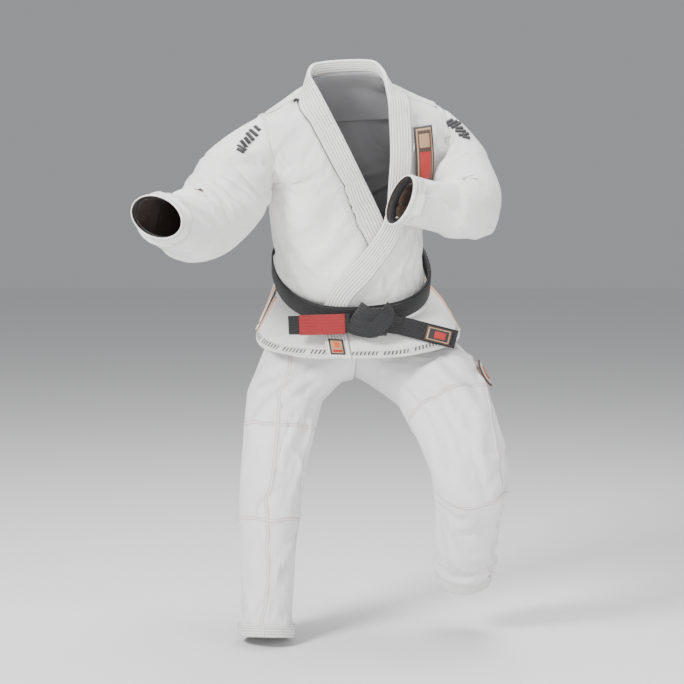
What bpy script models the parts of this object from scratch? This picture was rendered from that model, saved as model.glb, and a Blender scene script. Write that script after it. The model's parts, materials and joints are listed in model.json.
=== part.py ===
"""White jiu-jitsu uniform in a fighting stance: jacket, belt and trousers, in metres, +Z up.

The uniform faces -Y. Right and left are the wearer's own, so the wearer's right is at -X.
The lowest hem ends at Z = 0, and the middle of the bounding box is at X = 0, Y = 0.
"""

import math
from collections import namedtuple

import bmesh
import bpy
from mathutils import Matrix, Vector

# Cloth
JACKET_CLOTH = 0.0035
TROUSER_CLOTH = 0.0025
LINING_CLOTH = 0.0015
TAPE_THICKNESS = 0.0010
PATCH_THICKNESS = 0.0020

# Clearances
SEAM_GAP = 0.0012       # between two cloth panels that are sewn edge to edge
SEWN_ON_GAP = 0.0014    # between a trim and the cloth that it lies on
LINING_GAP = 0.0060     # between the back and the lining inside it
WRAP_GAP = 0.0004       # between two turns of the belt
WORN_GAP = 0.0060       # between the trousers and the jacket around them
BELT_CLEAR = 0.0055     # between the jacket and the belt
BELT_FRONT_CLEAR = 0.0055  # more of it in front, over the lapel's edges

# The stance
BELT_CENTRE = Vector((0.003, 0.030, 0.800))
LEAN = math.radians(15.5)          # of the back, forward
SIDE_LEAN = math.radians(1.0)      # of the back, towards the wearer's right
TURN = math.radians(10.0)          # of the chest, towards the wearer's left
BELT_DROP = math.radians(14.5)     # of the belt's front, below square to the back
HEM_RISE = math.radians(3.5)       # of the skirt's front, above square to the back
HEM_TURN = math.radians(9.0)       # of the hem, back from the way that the chest faces
RIGHT_HIP = Vector((-0.118, 0.050, 0.677))
LEFT_HIP = Vector((0.143, 0.058, 0.677))
RIGHT_THIGH_WAY = Vector((-0.054, -0.108, -0.353)).normalized()
LEFT_THIGH_WAY = Vector((0.120, -0.230, -0.268)).normalized()
RIGHT_SHIN_WAY = Vector((-0.008, -0.071, -0.315)).normalized()
LEFT_SHIN_WAY = Vector((-0.010, 0.142, -0.290)).normalized()
RIGHT_ARM_WAY = Vector((-0.124, -0.101, -0.172)).normalized()
LEFT_ARM_WAY = Vector((0.085, -0.140, -0.169)).normalized()
RIGHT_FOREARM_WAY = Vector((-0.083, -0.184, 0.033)).normalized()
LEFT_FOREARM_WAY = Vector((-0.180, -0.089, 0.035)).normalized()

# Jacket body
JACKET_RISE = 0.432         # from the belt's middle to the neck seam, along the back
WAIST_WIDTH = 0.320
WAIST_FRONT = 0.148         # from the back's middle line to the under panel
WAIST_BACK = 0.125
CHEST_WIDTH = 0.354
CHEST_FRONT = 0.120
CHEST_BACK = 0.122
SHOULDER_WIDTH = 0.384      # from armhole seam to armhole seam
SHOULDER_SHIFT = 0.012      # of the shoulders, towards the raised arm
SHOULDER_ROOM = 0.030       # how far the cloth would round past each armhole seam
NECK_WIDTH = 0.160
NECK_FRONT = 0.052
NECK_BACK = 0.068
OVERLAP = 0.018             # the over panel lies this much further out than the under panel
BODY_SQUARENESS = 2.5       # exponent of the body's outline: 2 is an ellipse

# Skirt of the jacket, below the belt
SKIRT_DROP = 0.130          # from the belt's middle to the hem
SKIRT_AHEAD = 0.048         # of the hem's middle, ahead of the back's line
HEM_WIDTH = 0.434
HEM_FRONT = 0.168
HEM_BACK = 0.180
RIGID_SKIRT_WIDTH = 0.150   # of the part that keeps its shape when the skirt is lifted
HEM_TAPE_WIDTH = 0.016
VENT_TAPE_WIDTH = 0.014
VENT_GAP = 0.012            # open between the front and back skirts at each side
UNDER_FLAP_DROP = 0.012     # the under panel hangs this much lower
BELOW_BELT = 0.020          # the skirt starts to lift this far below the belt, clear of the knot
FOLD_DROP = 0.068           # of the line that the front flaps fold at, below the belt's middle
FOLD_INSET = 0.006          # of that line, inside the over flap's outer face
LIFT_GAP = 0.0055           # between the jacket's body and the top of the skirt

# Lapel
LAPEL_WIDTH = 0.048
LAPEL_THICKNESS = 0.0075
LAPEL_END_THICKNESS = 0.0060  # below the belt, where the core ends
UNDER_END_SINK = 0.0020      # the under lapel's end is pressed in by the flap over it
LAPEL_COVER = 0.0018
LAPEL_CORE_GAP = 0.0008
COLLAR_STAND = 0.036        # how far the lapel stands up behind the neck

# Sleeves
UPPER_SLEEVE = 0.235        # from the armhole to the elbow
FOREARM_SLEEVE = 0.205      # from the elbow to the cuff
SLEEVE_TOP_RADIUS = 0.073
SLEEVE_ELBOW_RADIUS = 0.073
CUFF_RADIUS = 0.062
CUFF_FLATNESS = 0.66        # of the cuff's short side to its long side
CUFF_BAND = 0.026
CUFF_TAPE = 0.020
HEAD_LENGTH = 0.098         # of the sleeve's crumpling head, along the arm
ELBOW_REACH = 0.088         # of the elbow's crumpling cloth, each way

# Trousers
THIGH = 0.373               # from hip to knee
SHIN = 0.323                # from knee to hem
SEAT_WIDTH = 0.412
SEAT_FRONT = 0.118
SEAT_BACK = 0.130
SEAT_HEIGHT = 0.640         # of the seat's lower edge above the lower hem
SEAT_TILT = math.radians(4)  # of the seat's lower edge, its front down
CROTCH_HEIGHT = 0.566
GUSSET_WIDTH = 0.050
THIGH_RADIUS = 0.092
KNEE_RADIUS = 0.078
HEM_RADIUS = 0.061
HIP_REACH = 0.172           # of the hip's crumpling cloth, along the thigh
KNEE_REACH = 0.092          # of the knee's crumpling cloth, each way
TROUSER_HEM = 0.026
WAISTBAND_WIDTH = 0.040
HIP_PATCH_RADIUS = 0.030

# Belt
BELT_WIDTH = 0.040
BELT_THICKNESS = 0.0035
KNOT_SIZE = Vector((0.100, 0.034, 0.072))
KNOT_AHEAD = 0.0095         # of the knot, from the belt
KNOT_CAGE = 1.02            # of the knot's cage to the rounded knot
KNOT_TILT = math.radians(4)  # of the knot's top, forward
KNOT_ASIDE = 0.014          # of the knot, from the middle of the front
TAIL_LENGTH = 0.125
TAIL_GAP = 0.0054           # between the knot's side and a tail's root
BAR_START = 0.012           # of the rank bar, from the tail's root
BAR_LENGTH = 0.092
LABEL_START = 0.055
LABEL_LENGTH = 0.056
RED_TAIL_DROOP = math.radians(2)
LABEL_TAIL_DROOP = math.radians(15)
RED_TAIL_DROP = 0.002       # of the tail's root below the knot's middle
LABEL_TAIL_DROP = 0.008
RED_TAIL_SAG = 0.030        # of the tail's end, back towards the body
LABEL_TAIL_SAG = 0.000

# Colours, roughness
WHITE_COTTON = ((0.86, 0.84, 0.83, 1.0), 0.85)
LINING_GREY = ((0.45, 0.45, 0.46, 1.0), 0.80)
RUBBER_CORE = ((0.10, 0.10, 0.11, 1.0), 0.70)
PEACH_TAPE = ((0.85, 0.51, 0.35, 1.0), 0.75)
PRINTED_TAPE = ((0.30, 0.30, 0.30, 1.0), 0.70)
BLACK_COTTON = ((0.012, 0.012, 0.013, 1.0), 0.75)
RED_COTTON = ((0.26, 0.002, 0.004, 1.0), 0.70)
LABEL_BROWN = ((0.05, 0.03, 0.02, 1.0), 0.60)
LABEL_TAN = ((0.45, 0.28, 0.17, 1.0), 0.60)
LABEL_BLACK = ((0.02, 0.02, 0.02, 1.0), 0.55)

# Fineness of the meshes
LAPEL_STEPS = 18
NECK_STEPS = 9
LIMB_SIDES = 16
BODY_SIDES = 32

Section = namedtuple("Section", "height aside ahead tilt half_width front back turn", defaults=(0.0,))

TORSO = (
    Matrix.Translation(BELT_CENTRE)
    @ Matrix.Rotation(-SIDE_LEAN, 4, "Y")
    @ Matrix.Rotation(LEAN, 4, "X")
    @ Matrix.Rotation(TURN, 4, "Z")
)


def clear_scene():
    for obj in list(bpy.data.objects):
        bpy.data.objects.remove(obj, do_unlink=True)


def collection_named(name):
    made = bpy.data.collections.new(name)
    bpy.context.scene.collection.children.link(made)
    return made


# ---------------------------------------------------------------- the body's outline


def mix(a, b, share):
    return a + (b - a) * share


def smooth(share):
    share = min(max(share, 0.0), 1.0)
    return share * share * (3 - 2 * share)


def through(points, x):
    """The y of a smooth curve through (x, y) points, given in rising order of x."""
    if x <= points[0][0]:
        return points[0][1]
    if x >= points[-1][0]:
        return points[-1][1]
    i = max(k for k in range(len(points) - 1) if points[k][0] <= x)
    before = points[max(i - 1, 0)]
    start, end = points[i], points[i + 1]
    after = points[min(i + 2, len(points) - 1)]
    span = end[0] - start[0]
    leave = (end[1] - before[1]) / (end[0] - before[0]) * span
    arrive = (after[1] - start[1]) / (after[0] - start[0]) * span
    t = (x - start[0]) / span
    return (
        (2 * t**3 - 3 * t**2 + 1) * start[1]
        + (t**3 - 2 * t**2 + t) * leave
        + (3 * t**2 - 2 * t**3) * end[1]
        + (t**3 - t**2) * arrive
    )


def body_sections(extra):
    """Cross-sections of the jacket from hem to neck. extra moves the front out, for the over panel."""
    belt = Section(0, 0, 0, BELT_DROP, WAIST_WIDTH / 2, WAIST_FRONT + extra, WAIST_BACK)
    slope = math.tan(BELT_DROP)
    below = BELT_WIDTH * 0.65
    above = BELT_WIDTH * 0.55
    shoulder = SHOULDER_WIDTH / 2 + SHOULDER_ROOM
    return (
        Section(-SKIRT_DROP, 0.002, -SKIRT_AHEAD, -HEM_RISE,
                HEM_WIDTH / 2 + extra * 0.8, HEM_FRONT + extra * 1.5, HEM_BACK, -HEM_TURN),
        Section(-SKIRT_DROP * 0.55, 0.001, -SKIRT_AHEAD * 0.4, BELT_DROP * 0.45,
                mix(WAIST_WIDTH, HEM_WIDTH, 0.42) / 2 + extra * 0.8,
                mix(WAIST_FRONT, HEM_FRONT, 0.45) + extra * 1.7, mix(WAIST_BACK, HEM_BACK, 0.74),
                -HEM_TURN * 0.5),
        belt._replace(height=-below, ahead=below * slope, front=WAIST_FRONT + extra * 1.13),
        belt,
        belt._replace(height=above, ahead=-above * slope),
        Section(JACKET_RISE * 0.22, 0, 0, BELT_DROP * 0.4,
                mix(WAIST_WIDTH, CHEST_WIDTH, 0.10) / 2,
                mix(WAIST_FRONT, CHEST_FRONT, 0.5) + extra, WAIST_BACK),
        Section(JACKET_RISE * 0.38, 0.001, 0, 0,
                mix(WAIST_WIDTH, CHEST_WIDTH, 0.45) / 2,
                mix(WAIST_FRONT, CHEST_FRONT, 0.85) + extra * 0.9, WAIST_BACK),
        Section(JACKET_RISE * 0.50, SHOULDER_SHIFT * 0.6, 0, 0,
                CHEST_WIDTH / 2, CHEST_FRONT + extra * 0.4, CHEST_BACK),
        Section(JACKET_RISE * 0.64, SHOULDER_SHIFT, 0, 0,
                shoulder, CHEST_FRONT + extra * 0.1, CHEST_BACK),
        Section(JACKET_RISE * 0.75, SHOULDER_SHIFT, 0, 0,
                shoulder * 0.99, CHEST_FRONT * 0.88, CHEST_BACK * 0.94),
        Section(JACKET_RISE * 0.83, SHOULDER_SHIFT * 0.8, 0, 0,
                shoulder * 0.83, CHEST_FRONT * 0.74, CHEST_BACK * 0.86),
        Section(JACKET_RISE * 0.90, SHOULDER_SHIFT * 0.4, 0, 0,
                mix(NECK_WIDTH, SHOULDER_WIDTH, 0.30) / 2,
                mix(NECK_FRONT, CHEST_FRONT, 0.45), mix(NECK_BACK, CHEST_BACK, 0.50)),
        Section(JACKET_RISE * 0.96, 0, 0, 0,
                NECK_WIDTH * 0.57, NECK_FRONT * 1.14, NECK_BACK * 1.12),
        Section(JACKET_RISE, 0, 0, 0, NECK_WIDTH / 2, NECK_FRONT, NECK_BACK),
    )


UNDER = body_sections(0)
OVER = body_sections(OVERLAP)

# The front edge of each lapel, as (height, distance aside) from the hem to the neck
UNDER_LAPEL_EDGE = (
    (-SKIRT_DROP, 0.110),
    (0.0, 0.098),
    (0.144, 0.050),
    (0.300, -0.018),
    (JACKET_RISE, -NECK_WIDTH / 2 + 0.003),
)
OVER_LAPEL_EDGE = (
    (-SKIRT_DROP - 0.02, -0.092),
    (-0.050, -0.090),
    (0.010, -0.068),
    (0.085, 0.004),
    (0.144, 0.048),
    (0.220, 0.063),
    (JACKET_RISE, NECK_WIDTH / 2 - 0.003),
)


def section_at(sections, height):
    """The cross-section of the body at this height of its middle line."""
    values = [
        through([(section.height, section[i]) for section in sections], height)
        for i in range(1, 8)
    ]
    return Section(height, *values)


def body_point(section, angle):
    """A point of the outline in the torso's frame. Angle 0 is the left side and 270 degrees the front."""
    cos, sin = math.cos(angle), math.sin(angle)
    power = 2 / BODY_SQUARENESS
    x = section.half_width * math.copysign(abs(cos) ** power, cos)
    depth = section.front if sin < 0 else section.back
    y = depth * math.copysign(abs(sin) ** power, sin)
    middle = Vector((section.aside, section.ahead, section.height))
    tilted = Matrix.Rotation(section.tilt, 3, "X") @ Vector((x, y, 0))
    return middle + Matrix.Rotation(section.turn, 3, "Z") @ tilted


def angle_of(section, x, front=True):
    """The angle at which the outline passes this distance aside."""
    share = (x - section.aside) / section.half_width
    share = min(max(share, -1.0), 1.0)
    cos = math.copysign(abs(share) ** (BODY_SQUARENESS / 2), share)
    return 2 * math.pi - math.acos(cos) if front else math.acos(cos)


def edge_angle(sections, height, edge):
    """The angle at which a lapel's edge crosses the cross-section of this height."""
    section = section_at(sections, height)
    low, high = math.pi, 2 * math.pi
    for _ in range(20):
        angle = (low + high) / 2
        point = body_point(section, angle)
        if point.x < through(edge, point.z):
            low = angle
        else:
            high = angle
    return angle


def body_normal(sections, height, angle):
    step = 0.004
    turn = 0.03
    up = body_point(section_at(sections, height + step), angle) - body_point(
        section_at(sections, height - step), angle
    )
    section = section_at(sections, height)
    round_it = body_point(section, angle + turn) - body_point(section, angle - turn)
    return round_it.cross(up).normalized()


def on_body(sections, height, angle, lift=0.0):
    """A world point on the body's surface, or this far outside it."""
    point = body_point(section_at(sections, height), angle)
    if lift:
        point += body_normal(sections, height, angle) * lift
    return TORSO @ point


ARMHOLE_BOTTOM = JACKET_RISE * 0.50
ARMHOLE_TOP = JACKET_RISE * 0.83


def armhole_angle(sections, height, side, front):
    """The angle of the armhole's edge. side is -1 for the wearer's right."""
    section = section_at(sections, height)
    seam = SHOULDER_SHIFT + side * SHOULDER_WIDTH / 2
    reach = (seam - section.aside) * side / section.half_width
    if reach >= 1:
        return None
    return angle_of(section, seam, front)


def side_angle(sections, height, side, front):
    """The angle of a front or back panel's outer edge: side seam, then armhole, then shoulder seam."""
    clear = SEAM_GAP / 2 / section_at(sections, height).half_width
    flat = {(1, True): 2 * math.pi, (1, False): 0, (-1, True): math.pi, (-1, False): math.pi}
    angle = flat[(side, front)]
    cut = armhole_angle(sections, height, side, front)
    if cut is not None and height > 0:
        angle = cut
    inward = -1 if (side, front) in ((1, True), (-1, False)) else 1
    least = clear + 0.02
    return angle + inward * least if abs(angle - flat[(side, front)]) < least else angle


# ---------------------------------------------------------------- mesh tools


def new_object(name, mesh):
    obj = bpy.data.objects.new(name, mesh)
    UNIFORM.objects.link(obj)
    return obj


def face_out(mesh):
    bm = bmesh.new()
    bm.from_mesh(mesh)
    bmesh.ops.remove_doubles(bm, verts=bm.verts, dist=1e-6)
    bmesh.ops.recalc_face_normals(bm, faces=bm.faces)
    if bm.calc_volume(signed=True) < 0:
        bmesh.ops.reverse_faces(bm, faces=bm.faces)
    bm.to_mesh(mesh)
    bm.free()


def loft_faces(rows, columns, wrap, flipped=()):
    """Triangles between rows of points, wrapping round each row if it is a closed loop.

    Opposite walls of a thin piece need the same diagonals, so flipped holds the columns cut the other way.
    """
    last = columns if wrap else columns - 1
    faces = []
    for i in range(rows - 1):
        for j in range(last):
            a, b = i * columns + j, i * columns + (j + 1) % columns
            d, c = a + columns, b + columns
            if j in flipped:
                faces += [(a, b, d), (b, c, d)]
            else:
                faces += [(a, b, c), (a, c, d)]
    return faces


def loft(name, sections):
    """A solid between closed outlines that differ from one to the next, with flat ends."""
    first = sections[0]
    count = len(first)
    sides = [first[(j + 1) % count] - first[j] for j in range(count)]
    longest = max(sides, key=lambda side: side.length)
    flipped = {j for j, side in enumerate(sides) if side.dot(longest) < 0}
    faces = loft_faces(len(sections), count, True, flipped)
    faces.append(tuple(range(count)))
    faces.append(tuple(range((len(sections) - 1) * count, len(sections) * count)))
    mesh = bpy.data.meshes.new(name)
    mesh.from_pydata([point for section in sections for point in section], [], faces)
    face_out(mesh)
    return new_object(name, mesh)


def inward(ring, wall):
    middle = sum(ring, Vector()) / len(ring)
    return [point + (middle - point).normalized() * wall for point in ring]


def tube(name, rings, wall):
    """A cloth tube between rings, open at both ends, with its wall inside the rings."""
    count = len(rings[0])
    rows = len(rings)
    rings = [[Vector(point) for point in ring] for ring in rings]
    inner = [inward(ring, wall) for ring in rings]
    outside = loft_faces(rows, count, wrap=True)
    offset = rows * count
    inside = [tuple(i + offset for i in reversed(face)) for face in outside]
    ends = []
    for row in (0, rows - 1):
        for j in range(count):
            a, b = row * count + j, row * count + (j + 1) % count
            ends.append((a, b, b + offset, a + offset))
    mesh = bpy.data.meshes.new(name)
    points = [point for ring in rings + inner for point in ring]
    mesh.from_pydata(points, [], outside + inside + ends)
    face_out(mesh)
    return new_object(name, mesh)


def sheet(name, grid, thickness, outward):
    """A cloth sheet through a grid of points, thickened away from the side that outward points to."""
    rows, columns = len(grid), len(grid[0])
    mesh = bpy.data.meshes.new(name)
    faces = loft_faces(rows, columns, wrap=False)
    mesh.from_pydata([point for row in grid for point in row], [], faces)
    mesh.update()
    if sum((face.normal for face in mesh.polygons), Vector()).dot(outward) < 0:
        mesh.flip_normals()
    obj = new_object(name, mesh)
    solidify = obj.modifiers.new("Cloth thickness", "SOLIDIFY")
    solidify.thickness = thickness
    solidify.offset = -1
    return obj


def paint(obj, look):
    colour, roughness = look
    material = bpy.data.materials.new(obj.name)
    material.use_nodes = True
    shader = material.node_tree.nodes["Principled BSDF"]
    shader.inputs["Base Color"].default_value = colour
    shader.inputs["Roughness"].default_value = roughness
    shader.inputs["Metallic"].default_value = 0.0
    material.diffuse_color = colour
    obj.data.materials.append(material)
    return obj


def pivot(name, place, parent):
    """An empty on a joint's axis. The pieces that turn with the joint are its children."""
    empty = bpy.data.objects.new(name, None)
    empty.empty_display_size = 0.05
    UNIFORM.objects.link(empty)
    empty.parent = parent
    at_parent = WORLD_PLACES.get(parent.name, Vector()) if parent else Vector()
    empty.location = place - at_parent
    WORLD_PLACES[name] = place.copy()
    return empty


def hang(obj, parent):
    """Parents a piece whose mesh holds world coordinates, with its origin at the parent."""
    obj.data.transform(Matrix.Translation(-WORLD_PLACES[parent.name]))
    obj.parent = parent
    return obj


def piece(obj, look, parent):
    return hang(paint(obj, look), parent)


# ---------------------------------------------------------------- limbs


def across(way, side_hint):
    """Two unit vectors square to a limb, the first nearest to side_hint."""
    first = (side_hint - way * side_hint.dot(way)).normalized()
    return first, way.cross(first)


def limb_ring(centre, way, wide, deep, side_hint):
    first, second = across(way, side_hint)
    turns = [2 * math.pi * i / LIMB_SIDES for i in range(LIMB_SIDES)]
    return [centre + first * wide * math.cos(t) + second * deep * math.sin(t) for t in turns]


def bend_rings(joint, way_in, way_out, reach, wide, deep, hint, steps):
    """Rings round a bent elbow or knee, from reach before the joint to reach after it."""
    start = joint - way_in * reach
    end = joint + way_out * reach
    rings = []
    for i in range(steps + 1):
        t = i / steps
        centre = start * (1 - t) ** 2 + joint * 2 * t * (1 - t) + end * t**2
        way = mix(way_in, way_out, t).normalized()
        rings.append(
            limb_ring(centre, way, mix(wide[0], wide[1], t), mix(deep[0], deep[1], t), hint)
        )
    return rings


# ---------------------------------------------------------------- jacket


JACKET_END = -BELT_WIDTH / 2 - BELOW_BELT
SKIRT_TOP = JACKET_END - LIFT_GAP


def panel_heights(low, high, count):
    return [mix(low, high, i / (count - 1)) for i in range(count)]


def front_panel(name, sections, side, sewn_edge):
    """A front of the jacket, from its side seam, armhole and shoulder seam to its lapel."""
    rows, columns = 16, 7
    heights = panel_heights(JACKET_END, panel_top(sections, side, sewn_edge), rows)
    grid = []
    for height in heights:
        outer = side_angle(sections, height, side, True)
        inner = edge_angle(sections, height, sewn_edge)
        grid.append(
            [on_body(sections, height, mix(outer, inner, j / (columns - 1))) for j in range(columns)]
        )
    outward = TORSO.to_3x3() @ Vector((0, -1, 0))
    return sheet(name, grid, JACKET_CLOTH, outward)


def panel_top(sections, side, sewn_edge):
    """The height at which a front narrows to nothing, between the shoulder seam and the lapel."""
    height = ARMHOLE_TOP
    step = 0.002
    while height < JACKET_RISE:
        outer = side_angle(sections, height + step, side, True)
        inner = edge_angle(sections, height + step, sewn_edge)
        if (inner - outer) * -side < 0.10:
            break
        height += step
    return height


def back_panel(top_side):
    """The back of the jacket, from side seam to side seam and up to the collar."""
    columns = 13
    level = panel_heights(JACKET_END, JACKET_RISE * 0.84, 12)
    rise = 3
    grid = []
    for row in range(len(level) + rise):
        points = []
        for j in range(columns):
            share = j / (columns - 1)
            height = level[min(row, len(level) - 1)]
            if row >= len(level):
                round_neck = math.sin(math.pi * share) ** 0.8
                top = mix(top_side, JACKET_RISE + COLLAR_STAND - LAPEL_WIDTH - SEAM_GAP, round_neck)
                height = mix(level[-1], top, (row - len(level) + 1) / rise)
            left = side_angle(UNDER, height, 1, False)
            right = side_angle(UNDER, height, -1, False)
            points.append(on_body(UNDER, height, mix(left, right, share)))
        grid.append(points)
    outward = TORSO.to_3x3() @ Vector((0, 1, 0))
    return sheet("jacket_back", grid, JACKET_CLOTH, outward)


def yoke_lining():
    """The lining inside the back, below the neck."""
    heights = panel_heights(JACKET_RISE * 0.80, JACKET_RISE * 0.95, 5)
    columns = 9
    lift = -JACKET_CLOTH - LINING_GAP
    grid = [
        [
            on_body(UNDER, height, mix(0.24, 0.76, j / (columns - 1)) * math.pi, lift)
            for j in range(columns)
        ]
        for height in heights
    ]
    outward = TORSO.to_3x3() @ Vector((0, 1, 0))
    return sheet("yoke_lining", grid, LINING_CLOTH, outward)


def edge_place(sections, height, edge):
    """(point, normal, (sections, height, angle)) where a lapel's front edge crosses this height."""
    angle = edge_angle(sections, height, edge)
    point = body_point(section_at(sections, height), angle)
    return point, body_normal(sections, height, angle), (sections, height, angle)


def lapel_path():
    """The lapel's front edge: up the under side, round the neck and down the over side."""
    heights = panel_heights(JACKET_END, JACKET_RISE * 0.965, LAPEL_STEPS)
    path = [edge_place(UNDER, height, UNDER_LAPEL_EDGE) for height in heights]
    neck = section_at(UNDER, JACKET_RISE)
    for i in range(NECK_STEPS):
        share = (i + 0.5) / NECK_STEPS
        point = body_point(neck, math.pi * (1 - share))
        rise = COLLAR_STAND * smooth(math.sin(math.pi * share) * 1.4)
        outward = Vector((point.x, point.y, 0)).normalized() + Vector((0, 0, 0.35))
        path.append((point + Vector((0, 0, rise)), outward.normalized(), None))
    path += [edge_place(OVER, height, OVER_LAPEL_EDGE) for height in reversed(heights)]
    return path


def eased(vectors, rounds):
    """The same list of vectors with each one averaged with its neighbours, ends kept."""
    for _ in range(rounds):
        middle = [
            (vectors[i - 1] + vectors[i] * 2 + vectors[i + 1]) / 4 for i in range(1, len(vectors) - 1)
        ]
        vectors = [vectors[0], *middle, vectors[-1]]
    return vectors


def walk(place, way, distance):
    """(point, normal) after a walk over the body's surface, keeping as near as it can to one direction."""
    sections, height, angle = place
    steps = 4
    for _ in range(steps):
        section = section_at(sections, height)
        here = body_point(section, angle)
        by_angle = (body_point(section, angle + 0.01) - here) / 0.01
        by_height = (body_point(section_at(sections, height + 0.002), angle) - here) / 0.002
        a, b, c = by_angle.dot(by_angle), by_angle.dot(by_height), by_height.dot(by_height)
        d, e = way.dot(by_angle), way.dot(by_height)
        turn, climb = (d * c - e * b) / (a * c - b * b), (e * a - d * b) / (a * c - b * b)
        length = (by_angle * turn + by_height * climb).length
        angle += turn / length * distance / steps
        height += climb / length * distance / steps
    point = body_point(section_at(sections, height), angle)
    return point, body_normal(sections, height, angle)


def lapel_frames(path, level_ends=0.10):
    """Three (point, normal) pairs across the lapel at each place of its path, in the torso's frame.

    They lie square to the path, but level with the belt at the path's two ends. level_ends is how far
    up from the belt they turn, and None keeps all of them level.
    """
    points = eased([point for point, _, _ in path], 1)
    normals = [normal.normalized() for normal in eased([normal for _, normal, _ in path], 3)]
    frames = []
    for i, (point, (_, _, place)) in enumerate(zip(points, path)):
        along = (points[min(i + 1, len(points) - 1)] - points[max(i - 1, 0)]).normalized()
        out = (normals[i] - along * normals[i].dot(along)).normalized()
        over = out.cross(along)
        if place is None:
            marks = [(point + over * (LAPEL_WIDTH * share), out) for share in (0, 0.5, 1)]
            frames.append(marks)
            continue
        sections, height, angle = place
        section = section_at(sections, height)
        level = body_point(section, angle + 0.01) - body_point(section, angle - 0.01)
        level = level.normalized() * math.copysign(1, level.dot(over))
        square = 0.0 if level_ends is None else smooth((height + BELT_WIDTH / 2) / level_ends)
        way = mix(level / level.dot(over), over, square)
        marks = [(point, out)]
        for share in (0.5, 1):
            marks.append(walk(place, way.normalized(), way.length * LAPEL_WIDTH * share))
        frames.append(marks)
    return frames


def strip_sections(frames, outline):
    """World outlines of a strip: each outline point is (distance across, distance outward)."""
    sections = []
    for marks in frames:
        ring = []
        for across_by, out_by in outline:
            share = across_by / LAPEL_WIDTH * 2
            i = min(int(share), 1)
            point = mix(marks[i][0], marks[i + 1][0], share - i)
            out = mix(marks[i][1], marks[i + 1][1], share - i).normalized()
            ring.append(TORSO @ (point + out * out_by))
        sections.append(ring)
    return sections


def sewn_edge(frames):
    """(height, distance aside) along the edge where the front is sewn to the lapel, in rising order."""
    found = []
    for marks in frames:
        step = (marks[2][0] - marks[1][0]).normalized()
        back = marks[2][0] + step * SEAM_GAP * 1.5
        if not found or back.z > found[-1][0] + 0.002:
            found.append((back.z, back.x))
    return tuple(found)


def lapel_outlines():
    """The lapel's folded cover, open along its sewn edge, and the rubber core inside it."""
    low = -JACKET_CLOTH
    high = low + LAPEL_THICKNESS
    wall = LAPEL_COVER
    back = LAPEL_WIDTH
    half = back / 2
    cover = (
        (0, low), (half, low), (back, low),
        (back, low + wall), (half, low + wall), (wall, low + wall),
        (wall, high - wall), (half, high - wall), (back, high - wall),
        (back, high), (half, high), (0, high),
    )
    bottom, top, start = low + wall + LAPEL_CORE_GAP, high - wall - LAPEL_CORE_GAP, wall + LAPEL_CORE_GAP
    core = (
        (start, bottom), (half, bottom), (back - wall, bottom),
        (back - wall, top), (half, top), (start, top),
    )
    return cover, core


def chest_patch():
    """The woven patch on the over side of the chest."""
    heights = panel_heights(0.185, 0.300, 6)
    grid = [
        [
            on_body(OVER, height, angle_of(section_at(OVER, height), aside), PATCH_THICKNESS + SEWN_ON_GAP)
            for aside in (0.120, 0.130, 0.140, 0.150)
        ]
        for height in heights
    ]
    outward = TORSO.to_3x3() @ Vector((0, -1, 0))
    return sheet("chest_patch", grid, PATCH_THICKNESS, outward)


# ---------------------------------------------------------------- skirt


def skirt_heights(drop):
    return panel_heights(-SKIRT_DROP - drop, SKIRT_TOP, 5)


def skirt_part(name, sections, from_to, drop, thickness=JACKET_CLOTH, lift=0.0, heights=None, columns=7):
    """Part of the skirt. from_to gives the two angles between which it lies at a cross-section."""
    heights = heights or skirt_heights(drop)
    grid = []
    for height in heights:
        start, end = from_to(height)
        grid.append(
            [on_body(sections, height, mix(start, end, j / (columns - 1)), lift) for j in range(columns)]
        )
    middle = grid[len(grid) // 2][columns // 2]
    return sheet(name, grid, thickness, middle - TORSO @ Vector((0, 0, -SKIRT_DROP / 2)))


def vent_angle(sections, height, side, front):
    """The angle of a vent's edge: the front and back skirts part at each side."""
    section = section_at(sections, height)
    half = VENT_GAP / 2 / section.half_width
    if side > 0:
        return 2 * math.pi - half if front else half
    return math.pi + half if front else math.pi - half


def rigid_angle(sections, height, side, front, gap=0.0):
    reach = side * (RIGID_SKIRT_WIDTH / 2 + gap)
    return angle_of(section_at(sections, height), reach, front)


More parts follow.
